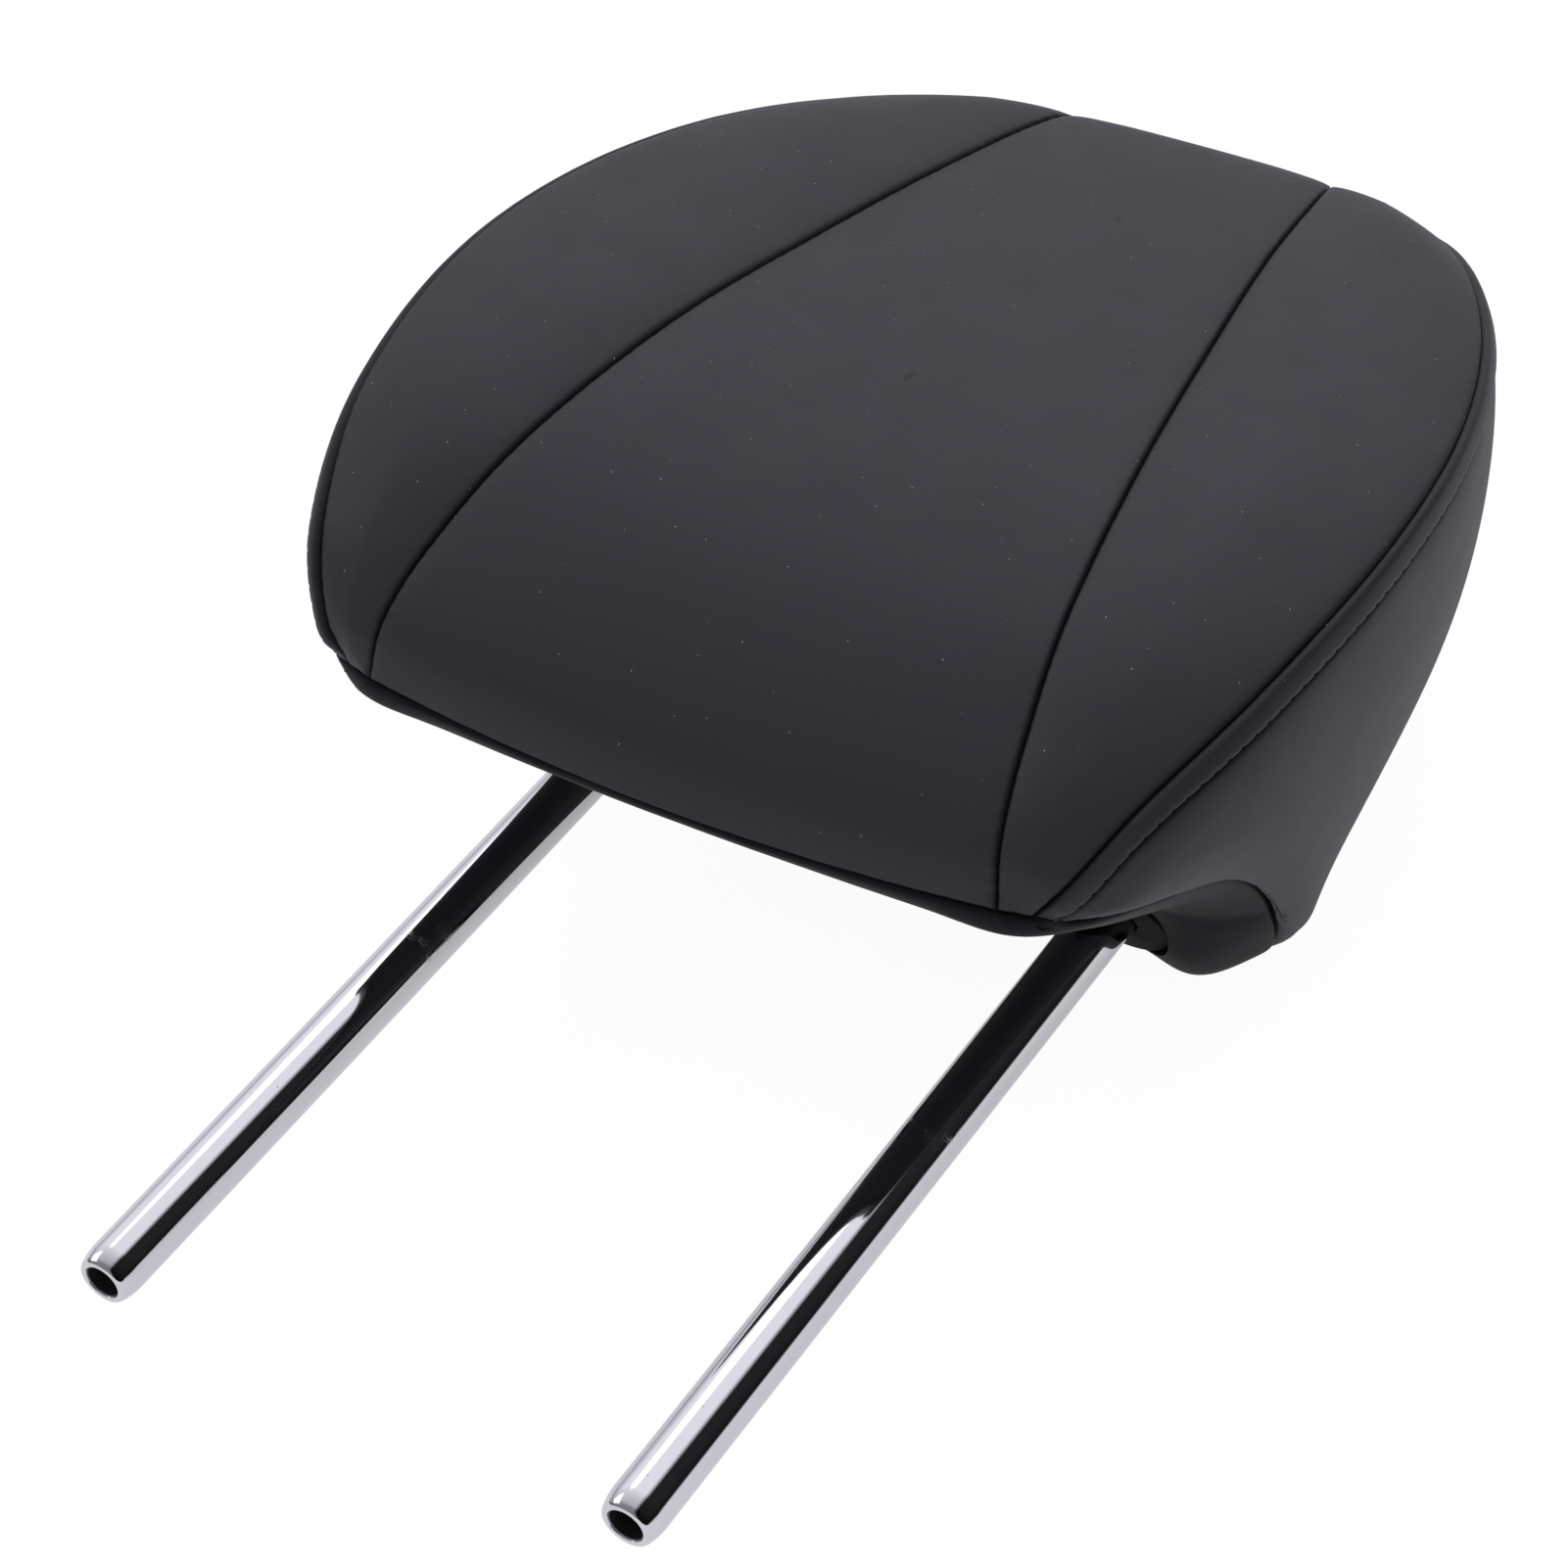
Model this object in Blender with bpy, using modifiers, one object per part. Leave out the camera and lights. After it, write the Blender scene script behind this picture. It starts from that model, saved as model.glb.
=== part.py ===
"""Car headrest: a leather covered cushion on two chromed steel posts.

It lies on its back, as it would come to rest. The frame is in metres:
+X runs across the cushion, +Y from the open ends of the posts to the top
of the cushion and +Z from its back to its front face.
Stations are written from the end plane of the posts (Y) and from the post
axes (Z); the whole part is then moved onto its resting plane.
"""
import math

import bmesh
import bpy
import numpy as np
from mathutils import Matrix, Vector

# Posts
POST_RADIUS = 0.00635
POST_BORE_RADIUS = 0.0038
POST_SPACING = 0.126
POST_LENGTH = 0.285
POST_END_RADIUS = 0.0054
POST_END_TAPER = 0.005
NOTCH_FROM_END = 0.017
NOTCH_WIDTH = 0.0024
NOTCH_DEPTH = 0.0016
NOTCH_LEAN = math.radians(35.0)

# Cover and seams
BACK_DEPTH = 0.024
COVER_THICKNESS = 0.0016
SEAM_GAP = 0.0007
SEAM_DEPTH = 0.0011
CROWN_RUN = 0.008
CENTRE_CROWN = 0.0020
WING_CROWN = 0.0042
GUSSET_CROWN = 0.0034
WING_BOW = 0.0020
WELT_RISE = 0.0022
LIP_BOW = 0.007
TOP_BOW = 0.0012
LOW_SQUARENESS = 1.45
TOP_SQUARENESS = 2.8
UNDERSIDE_SQUARENESS = 8.0
LOBE_HEIGHT = 0.0095
LOBE_PLACE = (0.78, 0.89)
LOBE_SPREAD = (0.17, 0.13)
LOBE_DIRECTION = (0.74, 0.68)
CORNER_REACH = 0.20
LIP_REACH = 0.30

# Plastic carrier in the foam, and what is fixed in it
CLEARANCE = 0.0003
SEAM_ROOM = 0.0014
CARRIER_WALL = 0.0023
CARRIER_START = 0.207
CARRIER_LENGTH = 0.090
CARRIER_OVERHANG = 0.012
CARRIER_SIDE_MARGIN = 0.0105
CARRIER_FRONT_DEPTH = 0.0165
CARRIER_CORNER = 0.006
CARRIER_TOP_MARGIN = 0.001
SADDLE_WIDTH = 0.0025
SADDLE_OVERHANG = 0.0035
SADDLE_INSET = 0.010
PLATE_THICKNESS = 0.0015
PLATE_LOW_GAP = 0.011
PLATE_TOP_GAP = 0.013
PLATE_OVERHANG = 0.004
PLATE_FLANGE = 0.0045
PLATE_BEND = 0.0015
PLATE_HOLE_RADIUS = 0.0065
SCREW_SPACING = 0.056
SCREW_INSET = 0.012
SCREW_RADIUS = 0.0019
SCREW_HEAD_RADIUS = 0.0036
SCREW_HEAD_HEIGHT = 0.0018
BOSS_WALL = 0.0022

# Trim collars round the posts
COLLAR_RADIUS = 0.0145
COLLAR_FACE = 0.1870
COLLAR_TILT = math.radians(25.0)
COLLAR_DISH = 0.0022
COLLAR_RIM = 0.0030
COLLAR_WALL = 0.0018
COLLAR_GROOVE = 0.010

# Mesh counts
SAME_PLACE = 0.000001
KEY_SHIFT = 0.137
NARROW_SHARE = 0.45
EASE_LENGTH = 0.006
MITRE_LIMIT = 1.5
ROUND_STEPS = 24
ARCH_STEPS = 16
DEPTH_STEPS = 11
CENTRE_COLUMNS = (0.0, 0.04, 0.13, 0.31, 0.5, 0.69, 0.87, 0.96, 1.0)
WING_COLUMNS = (0.0, 0.09, 0.33, 0.67, 0.91, 1.0)
WELT_ROWS = (0.0, 0.25, 0.75, 1.0)

# Stations of the right half, from the lip of the cushion to its top.
# Each line holds the front seam, the welt's front edge, the welt's side
# edge and the rim of the back, so that one row joins like with like.
SEAM_STATIONS = (
    (0.0756, 0.1215, 0.0615), (0.0738, 0.1270, 0.0745), (0.0704, 0.1425, 0.0853),
    (0.0648, 0.1705, 0.0954), (0.0570, 0.2150, 0.0989), (0.0486, 0.2610, 0.0954),
    (0.0413, 0.3020, 0.0906), (0.0360, 0.3370, 0.0840), (0.0333, 0.3500, 0.0786),
    (0.0326, 0.3565, 0.0675))
FRONT_EDGE_STATIONS = (
    (0.0849, 0.1249, 0.0603), (0.0895, 0.1270, 0.0708), (0.0978, 0.1406, 0.0832),
    (0.1082, 0.1705, 0.0939), (0.1134, 0.2120, 0.0992), (0.1100, 0.2520, 0.0980),
    (0.0980, 0.2900, 0.0930), (0.0790, 0.3225, 0.0855), (0.0580, 0.3460, 0.0765),
    (0.0326, 0.3565, 0.0675))
SIDE_EDGE_STATIONS = (
    (0.0885, 0.1258, 0.0575), (0.0928, 0.1285, 0.0668), (0.1006, 0.1395, 0.0786),
    (0.1102, 0.1685, 0.0878), (0.1150, 0.2110, 0.0926), (0.1116, 0.2526, 0.0916),
    (0.0994, 0.2916, 0.0868), (0.0800, 0.3242, 0.0795), (0.0586, 0.3478, 0.0705),
    (0.0326, 0.3586, 0.0610))
BACK_EDGE_STATIONS = (
    (0.0830, 0.2140), (0.0830, 0.2170), (0.0825, 0.2220), (0.0790, 0.2320),
    (0.0715, 0.2520), (0.0650, 0.2750), (0.0580, 0.2970), (0.0490, 0.3130),
    (0.0420, 0.3210), (0.0326, 0.3240))

# Stations from the lip round the underside to the back: the curved side
# seam, and the middle of the underside. The last height is the back's.
SIDE_SEAM_STATIONS = (
    (0.0885, 0.1258, 0.0575), (0.0930, 0.1360, 0.0570), (0.0964, 0.1520, 0.0500),
    (0.0984, 0.1690, 0.0400), (0.0986, 0.1840, 0.0270), (0.0976, 0.1965, 0.0120),
    (0.0966, 0.2035, -0.0018), (0.0930, 0.2095, -0.0145), (0.0830, 0.2140, -BACK_DEPTH))
UNDERSIDE_STATIONS = (
    (0.0, 0.1145, 0.0600), (0.0, 0.1205, 0.0527), (0.0, 0.1340, 0.0440),
    (0.0, 0.1520, 0.0330), (0.0, 0.1700, 0.0235), (0.0, 0.1840, 0.0110),
    (0.0, 0.1910, -0.0040), (0.0, 0.1990, -0.0170), (0.0, 0.2140, -BACK_DEPTH))


def spline(stations, values):
    """Points of a smooth curve through the stations, for values from 0 to 1."""
    points = np.array(stations, dtype=float)
    ends = np.vstack([2 * points[0] - points[1], points, 2 * points[-1] - points[-2]])
    place = np.clip(values, 0.0, 1.0) * (len(points) - 1)
    index = np.minimum(place.astype(int), len(points) - 2)
    t = (place - index)[:, None]
    a, b, c, d = (ends[index + k] for k in range(4))
    return 0.5 * (2 * b + (c - a) * t + (2 * a - 5 * b + 4 * c - d) * t ** 2
                  + (3 * b - a - 3 * c + d) * t ** 3)


def mirrored(points):
    """The same points on the other side of the middle plane."""
    return points * np.array((-1.0, 1.0, 1.0))


def between(first, second, shares):
    """Rows of points that run from the first curve to the second."""
    shares = np.asarray(shares)[None, :, None]
    return first[:, None, :] * (1 - shares) + second[:, None, :] * shares


def front_grid():
    """The front face: left wing, middle panel and right wing, row by row."""
    levels = np.linspace(0.0, 1.0, ARCH_STEPS + 1)
    seam = spline(SEAM_STATIONS, levels)
    edge = spline(FRONT_EDGE_STATIONS, levels)
    middle = between(mirrored(seam), seam, CENTRE_COLUMNS)
    across = (2 * np.array(CENTRE_COLUMNS) - 1)[None, :] ** 2
    low = (1 - levels[:, None]) ** 4 * (1 - across)
    high = levels[:, None] ** 6 * (1 - across)
    middle[:, :, 1] += TOP_BOW * high - LIP_BOW * low
    middle[:, :, 2] -= (SEAM_STATIONS[0][2] - UNDERSIDE_STATIONS[0][2]) * low
    right = between(seam, edge, WING_COLUMNS)
    right[:, :, 2] += WING_BOW * np.outer(np.sin(math.pi * levels), np.sin(math.pi * np.array(WING_COLUMNS)))
    left = mirrored(right)[:, ::-1]
    return np.concatenate([left[:, :-1], middle, right[:, 1:]], axis=1)


def arch_curve(stations):
    """A half outline carried over the top of the cushion to the left side."""
    right = spline(stations, np.linspace(0.0, 1.0, ARCH_STEPS + 1))
    top = between(right[-1:], mirrored(right[-1:]), CENTRE_COLUMNS)[0]
    top[:, 1] += TOP_BOW * (1 - (2 * np.array(CENTRE_COLUMNS) - 1) ** 2)
    return np.concatenate([right[:-1], top, mirrored(right)[::-1][1:]])


def back_edge_stations():
    """The rim of the back, at the height of the back."""
    return [(x, y, -BACK_DEPTH) for x, y in BACK_EDGE_STATIONS]


def side_profile(front, back, steps):
    """Profiles that run from the welt round to the back, squarer near the top."""
    angle = steps[None] * math.pi / 2
    height = (front[:, 1] - front[0, 1]) / np.ptp(front[:, 1])
    power = 2 / (LOW_SQUARENESS + (TOP_SQUARENESS - LOW_SQUARENESS) * height[:, None] ** 3)
    inward = 1 - np.cos(angle) ** power
    down = np.sin(angle) ** power
    return front[:, None, :] + (back - front)[:, None, :] * np.stack([inward, inward, down], axis=2)


def side_grid():
    """The boxing round the sides and the top, from the welt to the back."""
    front = arch_curve(SIDE_EDGE_STATIONS)
    back = arch_curve(back_edge_stations())
    steps = np.linspace(0.0, 1.0, DEPTH_STEPS + 1)
    grid = side_profile(front, back, steps)
    seam = spline(SIDE_SEAM_STATIONS, steps)
    place = np.linspace(0.0, 1.0, len(front))
    for curve, start, near in ((seam, 0, place), (mirrored(seam), -1, place[::-1])):
        carried = (curve[None] + (front - front[start])[:, None] * (1 - steps)[None, :, None]
                   + (back - back[start])[:, None] * steps[None, :, None])
        fade = np.clip(1 - near / CORNER_REACH, 0.0, 1.0)
        weight = (fade ** 2 * (3 - 2 * fade))[:, None, None]
        grid = grid * (1 - weight) + carried * weight
    return grid


def welt_grid():
    """The flat strip of leather that is sewn round the front face."""
    return between(arch_curve(FRONT_EDGE_STATIONS), arch_curve(SIDE_EDGE_STATIONS), WELT_ROWS)


def lip_row():
    """Points along the lip, from the left end of the side seam to the right."""
    front = front_grid()[0]
    welt = welt_grid()
    return np.concatenate([welt[-1][::-1][:-1], front, welt[0][1:]])


def underside_grid():
    """The underside, from the lip to the back, with a soft lobe at each side."""
    steps = np.linspace(0.0, 1.0, DEPTH_STEPS + 1)
    side = spline(SIDE_SEAM_STATIONS, steps)
    middle = spline(UNDERSIDE_STATIONS, steps)
    lip = lip_row()
    across = lip[:, 0] / lip[-1, 0]
    corner = (np.abs(across) ** UNDERSIDE_SQUARENESS)[None, :, None]
    grid = middle[:, None, :] * (1 - corner) + side[:, None, :] * corner
    grid[:, :, 0] = side[:, None, 0] * across[None]
    along = (steps[:, None] - LOBE_PLACE[0]) / LOBE_SPREAD[0]
    aside = (np.abs(across)[None] - LOBE_PLACE[1]) / LOBE_SPREAD[1]
    hump = np.exp(-along ** 2 - aside ** 2)
    hump = hump * (1 - np.abs(across)[None] ** 12) * (1 - steps[:, None] ** 10)
    grid[:, :, 1] -= LOBE_HEIGHT * LOBE_DIRECTION[0] * hump
    grid[:, :, 2] -= LOBE_HEIGHT * LOBE_DIRECTION[1] * hump
    fade = (np.clip(1 - steps / LIP_REACH, 0.0, 1.0) ** 2)[:, None, None]
    return grid + (lip - grid[0])[None] * fade


def back_grid():
    """The flat back, on which the headrest rests."""
    rim = spline(back_edge_stations(), np.linspace(0.0, 1.0, ARCH_STEPS + 1))
    low = underside_grid()[-1]
    wings = len(WING_COLUMNS) + len(WELT_ROWS) - 2
    share = np.linspace(0.0, 1.0, ARCH_STEPS + 1)
    inner = rim.copy()
    inner[:, 0] = low[-1 - wings, 0] * (1 - share) + rim[-1, 0] * share
    inner[:, 1] = rim[0, 1] * (1 - share) + rim[-1, 1] * share
    middle = between(mirrored(inner), inner, CENTRE_COLUMNS)
    middle[:, :, 1] += TOP_BOW * share[:, None] ** 6 * (1 - (2 * np.array(CENTRE_COLUMNS) - 1) ** 2)
    spread = (low[-1 - wings:, 0] - low[-1 - wings, 0]) / (low[-1, 0] - low[-1 - wings, 0])
    right = between(inner, rim, spread)
    left = mirrored(right)[:, ::-1]
    return np.concatenate([left[:, :-1], middle, right[:, 1:]], axis=1)


def cushion_grids():
    """Every patch of the cushion's outer form. Neighbours share their edges."""
    front = front_grid()
    side = side_grid()
    wing = len(WING_COLUMNS) - 1
    middle = len(side) // 2
    return {
        "front_left_panel": front[:, :wing + 1],
        "front_center_panel": front[:, wing:-wing],
        "front_right_panel": front[:, -wing - 1:],
        "welt_strip": welt_grid(),
        "right_side_gusset": side[:middle + 1],
        "left_side_gusset": side[middle:],
        "underside_panel": underside_grid(),
        "back_panel": back_grid(),
    }


def add_patch(mesh, corners, flip=False):
    """Triangles between neighbouring corners of a grid, always cut the same way."""
    for i in range(len(corners) - 1):
        for j in range(len(corners[0]) - 1):
            start, end = corners[i][j], corners[i + 1][j + 1]
            for loop in ((start, corners[i][j + 1], end), (start, end, corners[i + 1][j])):
                if len(set(loop)) == 3:
                    mesh.faces.new(reversed(loop) if flip else loop)


def joined_form(grids):
    """One closed mesh of all patches, and for each patch its grid of vertices."""
    mesh = bmesh.new()
    found = {}
    corners = {}
    for name, grid in grids.items():
        rows = []
        for row in grid:
            keys = [tuple(np.floor(point / SAME_PLACE + KEY_SHIFT)) for point in row]
            for key, point in zip(keys, row):
                if key not in found:
                    found[key] = mesh.verts.new(point)
            rows.append([found[key] for key in keys])
        corners[name] = rows
        add_patch(mesh, rows)
    bmesh.ops.recalc_face_normals(mesh, faces=mesh.faces)
    mesh.normal_update()
    return mesh, corners


def distance_from_edge(grid):
    """How far each point of a patch lies from the patch's nearest edge."""
    down = np.linalg.norm(np.diff(grid, axis=0), axis=2)
    along = np.linalg.norm(np.diff(grid, axis=1), axis=2)
    rows = np.vstack([np.zeros((1, grid.shape[1])), np.cumsum(down, axis=0)])
    columns = np.hstack([np.zeros((grid.shape[0], 1)), np.cumsum(along, axis=1)])
    return np.minimum.reduce([rows, rows[-1:] - rows, columns, columns[:, -1:] - columns])


def unit(vectors):
    """Vectors of length one along the given ones; a zero stays zero."""
    return vectors / np.maximum(np.linalg.norm(vectors, axis=-1, keepdims=True), 1e-9)


def drawn_in(grid, distance):
    """The grid with its edges moved squarely towards its inside."""
    moved = grid.copy()
    for rows, target in ((grid, moved), (grid.transpose(1, 0, 2), moved.transpose(1, 0, 2))):
        for here, inside in ((0, 1), (-1, -2)):
            step = rows[inside] - rows[here]
            along = unit(np.gradient(rows[here], axis=0))
            square = step - along * (step * along).sum(axis=1, keepdims=True)
            reach = np.minimum(distance, NARROW_SHARE * np.linalg.norm(square, axis=1, keepdims=True))
            target[here] += unit(square) * reach
    for row in (0, -1):
        if np.ptp(grid[row], axis=0).max() < SAME_PLACE:
            moved[row] = moved[row].mean(axis=0)
    return moved


def eased_line(places, outward):
    """Outward vectors along a line, evened out within a short way of both ends."""
    walked = np.concatenate([[0.0], np.cumsum(np.linalg.norm(np.diff(places, axis=0), axis=1))])
    if walked[-1] < SAME_PLACE:
        return outward
    eased = outward.copy()
    if walked[-1] < 2 * EASE_LENGTH:
        share = (walked / walked[-1])[:, None]
        return outward[:1] * (1 - share) + outward[-1:] * share
    first = int(np.searchsorted(walked, EASE_LENGTH))
    share = (walked[:first + 1] / walked[first])[:, None]
    eased[:first + 1] = outward[0] * (1 - share) + outward[first] * share
    left = walked[-1] - walked
    last = int(np.nonzero(left >= EASE_LENGTH)[0][-1])
    share = (left[last:] / left[last])[:, None]
    eased[last:] = outward[-1] * (1 - share) + outward[last] * share
    return eased


def outward_vectors(grid, corners):
    """Outward vectors of a patch that keep its thickness even at the seams."""
    vectors = np.array([[vert.normal * min(vert.calc_shell_factor(), MITRE_LIMIT) for vert in row]
                        for row in corners])
    for row in range(1, len(grid) - 1):
        vectors[row] = eased_line(grid[row], vectors[row])
    for column in range(1, len(grid[0]) - 1):
        vectors[:, column] = eased_line(grid[:, column], vectors[:, column])
    return vectors


def cover_mesh(name, grid, vectors, crown, dip):
    """A piece of the cover: crowned outside, dipping to its seams, even inside."""
    edge = distance_from_edge(grid)
    fall = np.clip(1 - edge / (4 * dip), 0.0, 1.0) ** 2
    height = crown * (1 - np.exp(-edge / CROWN_RUN)) - dip * fall
    outer = drawn_in(grid + vectors * height[:, :, None], SEAM_GAP / 2)
    outer[:, :, 2] = np.maximum(outer[:, :, 2], -BACK_DEPTH)
    inner = drawn_in(grid - vectors * COVER_THICKNESS, SEAM_GAP / 2)
    mesh = bmesh.new()
    layers = [[[mesh.verts.new(point) for point in row] for row in layer] for layer in (outer, inner)]
    add_patch(mesh, layers[0])
    add_patch(mesh, layers[1], flip=True)
    rims = [[layer[0] for layer in layers], [layer[-1] for layer in layers]]
    rims += [[[row[side] for row in layer] for layer in layers] for side in (0, -1)]
    for rim in rims:
        add_patch(mesh, rim)
    bmesh.ops.remove_doubles(mesh, verts=mesh.verts, dist=SAME_PLACE)
    bmesh.ops.dissolve_degenerate(mesh, edges=mesh.edges, dist=SAME_PLACE)
    bmesh.ops.recalc_face_normals(mesh, faces=mesh.faces)
    return object_from(name, mesh)


def material(name, color, roughness, metallic=0.0):
    """A plain material with the colour, roughness and metal share of a part."""
    finish = bpy.data.materials.get(name) or bpy.data.materials.new(name)
    finish.use_nodes = True
    shader = finish.node_tree.nodes["Principled BSDF"]
    shader.inputs["Base Color"].default_value = (*color, 1.0)
    shader.inputs["Roughness"].default_value = roughness
    shader.inputs["Metallic"].default_value = metallic
    return finish


def object_from(name, mesh):
    """A smooth shaded object, under the root, from a bmesh that is then freed."""
    data = bpy.data.meshes.new(name)
    mesh.to_mesh(data)
    mesh.free()
    data.shade_smooth()
    data.set_sharp_from_angle(angle=math.radians(40))
    made = bpy.data.objects.new(name, data)
    PARTS.objects.link(made)
    made.parent = ROOT
    return made


def as_cutter(made):
    """Marks an object as a guide that shapes others and is no piece itself."""
    PARTS.objects.unlink(made)
    CUTTERS.objects.link(made)
    made.hide_render = True
    made.display_type = 'WIRE'
    return made


def shape(made, other, operation='DIFFERENCE'):
    """Cuts an object with another, or joins or keeps what they share."""
    step = made.modifiers.new(operation.lower(), 'BOOLEAN')
    step.operation = operation
    step.object = other
    step.solver = 'EXACT'
    return made


def turned(name, profile, x=0.0, y=0.0, z=0.0, along='Y'):
    """A profile of (radius, height) pairs turned about an axis along Y or Z."""
    mesh = bmesh.new()
    verts = [mesh.verts.new((radius, 0.0, height)) for radius, height in profile]
    for k, vert in enumerate(verts):
        mesh.edges.new((verts[k - 1], vert))
    made = object_from(name, mesh)
    made.location = (x, y, z)
    made.rotation_euler = (-math.pi / 2, 0.0, 0.0) if along == 'Y' else (0.0, 0.0, 0.0)
    screw = made.modifiers.new("turn", 'SCREW')
    screw.axis = 'Z'
    screw.steps = screw.render_steps = ROUND_STEPS
    screw.use_merge_vertices = True
    screw.merge_threshold = 0.00001
    screw.use_smooth_shade = True
    return made


def rod(name, radius, start, end, x=0.0, y=0.0, z=0.0, along='Y'):
    """A plain cylinder between two heights of its axis, for cutting and bosses."""
    mesh = bmesh.new()
    middle = Matrix.Translation((0.0, 0.0, (start + end) / 2))
    bmesh.ops.create_cone(mesh, cap_ends=True, segments=ROUND_STEPS, radius1=radius,
                          radius2=radius, depth=end - start, matrix=middle)
    made = object_from(name, mesh)
    made.location = (x, y, z)
    made.rotation_euler = (-math.pi / 2, 0.0, 0.0) if along == 'Y' else (0.0, 0.0, 0.0)
    return made


def block(name, low, high):
    """A box between two corners."""
    low, high = Vector(low), Vector(high)
    mesh = bmesh.new()
    place = Matrix.Translation((low + high) / 2) @ Matrix.Diagonal((*(high - low), 1.0))
    bmesh.ops.create_cube(mesh, size=1.0, matrix=place)
    return object_from(name, mesh)


def slab(name, outline, low, high, corner):
    """A flat outline with rounded corners, between two heights."""
    mesh = bmesh.new()
    face = mesh.faces.new([mesh.verts.new((x, y, low)) for x, y in outline])
    raised = bmesh.ops.extrude_face_region(mesh, geom=[face])
    top = [v for v in raised["geom"] if isinstance(v, bmesh.types.BMVert)]
    bmesh.ops.translate(mesh, verts=top, vec=(0.0, 0.0, high - low))
    upright = [e for e in mesh.edges if abs(e.verts[0].co.z - e.verts[1].co.z) > 1e-6]
    bmesh.ops.bevel(mesh, geom=upright, offset=corner, segments=4, affect='EDGES', profile=0.5)
    bmesh.ops.recalc_face_normals(mesh, faces=mesh.faces)
    return object_from(name, mesh)


def carrier_end():
    """The upper end of the carrier."""
    return CARRIER_START + CARRIER_LENGTH


def post_top():
    """Where the posts end in the carrier; they reach down from here."""
    return carrier_end() - CARRIER_OVERHANG


def post(name, side):
    """A steel tube with an open, tapered end. The right one has the guide notch."""
    profile = (
        (POST_RADIUS, POST_LENGTH), (POST_RADIUS, POST_END_TAPER),
        (POST_RADIUS * 0.985, POST_END_TAPER * 0.72), (POST_END_RADIUS + 0.0003, 0.0004),
        (POST_END_RADIUS, 0.0), (POST_BORE_RADIUS, 0.0), (POST_BORE_RADIUS, POST_LENGTH))
    end = post_top() - POST_LENGTH
    made = turned(name, profile, x=side * POST_SPACING / 2, y=end)
    if side > 0:
        lean = Matrix.Rotation(NOTCH_LEAN, 4, 'Y')
        reach = POST_RADIUS * 2
        cutter = block("guide_notch_cutter", (-reach, -NOTCH_WIDTH / 2, -2 * POST_RADIUS),
                       (reach, NOTCH_WIDTH / 2, NOTCH_DEPTH - POST_RADIUS))
        place = Matrix.Translation((POST_SPACING / 2, end + NOTCH_FROM_END, 0.0))
        cutter.matrix_basis = place @ lean.inverted()
        shape(made, as_cutter(cutter))
    made.data.materials.append(material("chrome", (0.80, 0.80, 0.82), 0.06, 1.0))
    return made


def carrier_outline(grow=0.0):
    """The carrier seen from the front, wider at the bottom, grown all round."""
    low = POST_SPACING / 2 + POST_RADIUS + CARRIER_SIDE_MARGIN + grow
    high = POST_SPACING / 2 + POST_RADIUS + CLEARANCE + CARRIER_WALL + CARRIER_TOP_MARGIN + grow
    start, end = CARRIER_START - grow, carrier_end() + grow
    return ((-low, start), (low, start), (high, end), (-high, end))


def carrier_rear_depth():
    """From the post axes to the outside of the rear half."""
    return POST_RADIUS + CLEARANCE + 2 * CARRIER_WALL


def screw_places():
    """Where the four screws hold the two halves together."""
    for y in (CARRIER_START + SCREW_INSET, carrier_end() - SCREW_INSET):
        for x in (-SCREW_SPACING / 2, SCREW_SPACING / 2):
            yield x, y


def saddle_places():
    """How far up the two rows of post saddles lie."""
    return CARRIER_START + SADDLE_INSET, post_top() - SADDLE_INSET


def carrier_half(name, facing):
    """One half of the plastic carrier: a tray with post saddles and screw bosses."""
    depth = CARRIER_FRONT_DEPTH if facing > 0 else carrier_rear_depth()
    parting = facing * CLEARANCE / 2
    floor = facing * (depth - CARRIER_WALL)
    outside = sorted((parting, facing * depth))
    pocket = sorted((facing * -0.001, floor))
    made = slab(name, carrier_outline(), *outside, CARRIER_CORNER)
    shape(made, as_cutter(slab(name + "_pocket", carrier_outline(-CARRIER_WALL), *pocket,
                               CARRIER_CORNER - CARRIER_WALL)))
    inside = sorted((parting, floor + facing * CARRIER_WALL / 2))
    reach = POST_RADIUS + CLEARANCE + SADDLE_OVERHANG
    for number, y in enumerate(saddle_places()):
        for side in (-1, 1):
            x = side * POST_SPACING / 2
            rib = block(f"{name}_saddle_{number}_{side}", (x - reach, y - SADDLE_WIDTH / 2, inside[0]),
                        (x + reach, y + SADDLE_WIDTH / 2, inside[1]))
            shape(made, as_cutter(rib), 'UNION')
    hole = SCREW_RADIUS + CLEARANCE
    for number, (x, y) in enumerate(screw_places()):
        boss = rod(f"{name}_boss_{number}", hole + BOSS_WALL, *inside, x=x, y=y, along='Z')
        shape(made, as_cutter(boss), 'UNION')
    for side in (-1, 1):
        seat = rod(f"{name}_post_seat_{side}", POST_RADIUS + CLEARANCE, 0.0, post_top() + CLEARANCE,
                   x=side * POST_SPACING / 2)
        shape(made, as_cutter(seat))
    for number, (x, y) in enumerate(screw_places()):
        ends = (-2 * depth, 2 * depth) if facing < 0 else (-depth, screw_reach() + CLEARANCE)
        shape(made, as_cutter(rod(f"{name}_screw_hole_{number}", hole, *ends, x=x, y=y, along='Z')))
        if facing < 0:
            sunk = -depth + SCREW_HEAD_HEIGHT + CLEARANCE
            head = rod(f"{name}_head_seat_{number}", SCREW_HEAD_RADIUS + CLEARANCE, -2 * depth, sunk,
                       x=x, y=y, along='Z')
            shape(made, as_cutter(head))
    made.data.materials.append(material("black plastic", (0.030, 0.030, 0.032), 0.5))
    return made


def screw_reach():
    """How far the screws reach in front of the post axes."""
    return CARRIER_FRONT_DEPTH - 2 * CARRIER_WALL


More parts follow.
